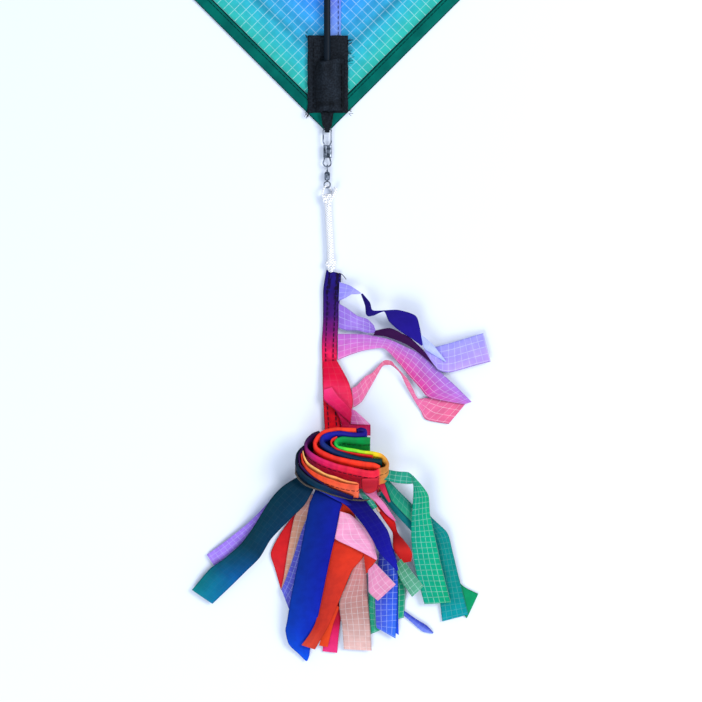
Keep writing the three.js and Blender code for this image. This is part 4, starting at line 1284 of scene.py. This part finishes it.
    add("streamer_20_scarlet",
        [(19, -22.5, 20.5, -22.5, 9.4), (22, -30, 25.6, -30, 9.6, 9.2), (26, -36, 31.5, -35.5, 9.2, 8.8),
        (30.2, -42.5, 33.2, -42, 8.8, 8.6), (30.3, -50, 39.5, -49.8, 8.4, 8),
        (31.8, -54.5, 42, -54.8, 7.8, 7.6), (36.5, -60.6, 41.6, -59.8, 7.2)],
        "#780810 0.3:#c01814 0.42:#a81010 0.55:#74080c 0.75:#bc2420 #a41414", grid=0, cut=8)
    add("streamer_21_petrol",
        [(22.5, -19.5, 25.5, -13, 7.4), (31.5, -30.5, 34, -25, 7), (41.5, -41.5, 42, -35.5, 6.2),
        (49.5, -52.5, 52, -47.5, 5.2)], "#045c60 #066c74", grid=0.03, cut=8)
    add("streamer_22_green",
        [(42.4, -7.2, 41.6, -8.6, 13.4, 13), (48.2, -13.8, 42.6, -14, 13.2, 12.6),
        (51.9, -19.8, 42.5, -21, 12.6, 11.6), (52.8, -31, 41.6, -33, 11.2, 10.2),
        (55.9, -45.3, 41.4, -46, 9.6, 8.8), (59, -59.3, 43.2, -60, 7.9, 7.3), (62.4, -73, 46, -73, 6.2, 6),
        (65.6, -85, 49.6, -86, 4.4, 4.2)], "#188e6c 0.3:#0c986e 0.6:#04a078 #049468",
        "#087c68 0.3:#048c70 0.6:#089078 #089478", cut=17)
    add("green_root",
        [(25, -3.5, 25, -10, 12, 11.5), (33.5, -4.8, 32, -11.8, 12.6, 12),
         (39.5, -5.2, 39, -12.5, 12.8, 12.2),
        (43.2, -8.2, 43.2, -12.2, 12.8, 12.2)], "#107c64 #249078 #1c8870", cut=9)
    add("streamer_23_turquoise",
        [(47, -20, 41, -26, 7), (53, -32, 47, -35.5, 6), (63.4, -42.4, 53, -44.5, 4.8, 4.6),
        (66.6, -53.5, 56.5, -55, 3.8, 3.6), (70.4, -69, 58, -71, 3, 2.8), (73.8, -82.5, 59, -84, 2.2),
        (76.5, -92.6, 60.5, -96.8, 1.4)], "#04787c 0.5:#04807c 0.8:#04807c #088c98", grid=0.28, cut=17)
    add("streamer_24_emerald",
        [(62, -63, 59, -69, 1.4), (73, -75, 66.5, -84, 1.2), (82.5, -80, 75.5, -95, 1)], "#087c54 #0a8c5c",
        grid=0, cut=16)
    add("streamer_25_sage",
        [(36, -57.5, 31.5, -62, 7.4), (42, -66, 35, -71, 6.8, 6.6), (49, -75, 42, -81.5, 6, 5.8)],
        "#3c7c5c 0.4:#48886c #58a084", cut=9)
    add("streamer_26_azure",
        [(36, -89.2, 34.5, -91, 1.2), (44.5, -95.2, 42, -97.5, 1.6, 1.2), (51, -99.2, 48.5, -103, 1.6, 1),
        (55.2, -103.6, 54.6, -104.4, 1.2, 1)], "#1c2ca0 #1c289c", "#5060d0 #8498f0", grid=0.4, cut=6)
    add("pale_pink_scrap",
        [(10, -14.5, 20.5, -12.5, 2.6), (13, -18.2, 20.8, -19, 6), (18.8, -22.4, 23.2, -21.8, 9.8),
        (22.4, -26.6, 26.2, -25.6, 11), (26.4, -31.2, 29.8, -31, 10.6), (31.4, -35.2, 32.2, -34.8, 10)],
        "#d878b0 0.4:#dc80b4 #cc5c94", grid=0.2, cut=6, colour="pink")
    add("sage_scrap",
        [(8.5, -13.5, 14, -13, 2.4), (10.4, -18.5, 15.8, -19, 5.4), (13, -23, 18.4, -22.6, 9, 8.8),
        (17.6, -28.4, 21, -26.5, 9.8)], "#589890 #3c9484 #188a70", cut=6)
    add("peach_scrap",
        [(13, -18.5, 17.5, -16.5, 4), (16.5, -22, 20.6, -21.4, 8), (21, -29.5, 24, -29, 9.4)],
        "#d8a890 #cca08c", grid=0.3, cut=5)
    add("crimson_scrap",
        [(16, -9, 24.5, -7.5, 4), (21, -12.8, 25, -11.4, 7), (23.4, -17, 26.4, -16, 9.6),
        (27.8, -23.8, 28.9, -23.3, 9.6)], "#b81840 #c4304c", grid=0, cut=5)
    add("sheer_green_scrap",
        [(25.5, -12, 27.5, -10, 8.6), (29.5, -22.5, 33, -16, 8.4, 8.2), (41.5, -35.5, 42, -25, 7.6, 7.4)],
        "#0c7460 #208c6c #2c9874", "#087060 #066c60", grid=0.3, cut=8, colour="green")


camera()
link_cord()
snap()
swivel()
sail()
corners()
spars()
centre_fitting()
bridle_patches()
tab_loop()
tail_band()
coil()
upper_streamers()
lower_streamers()
studio()
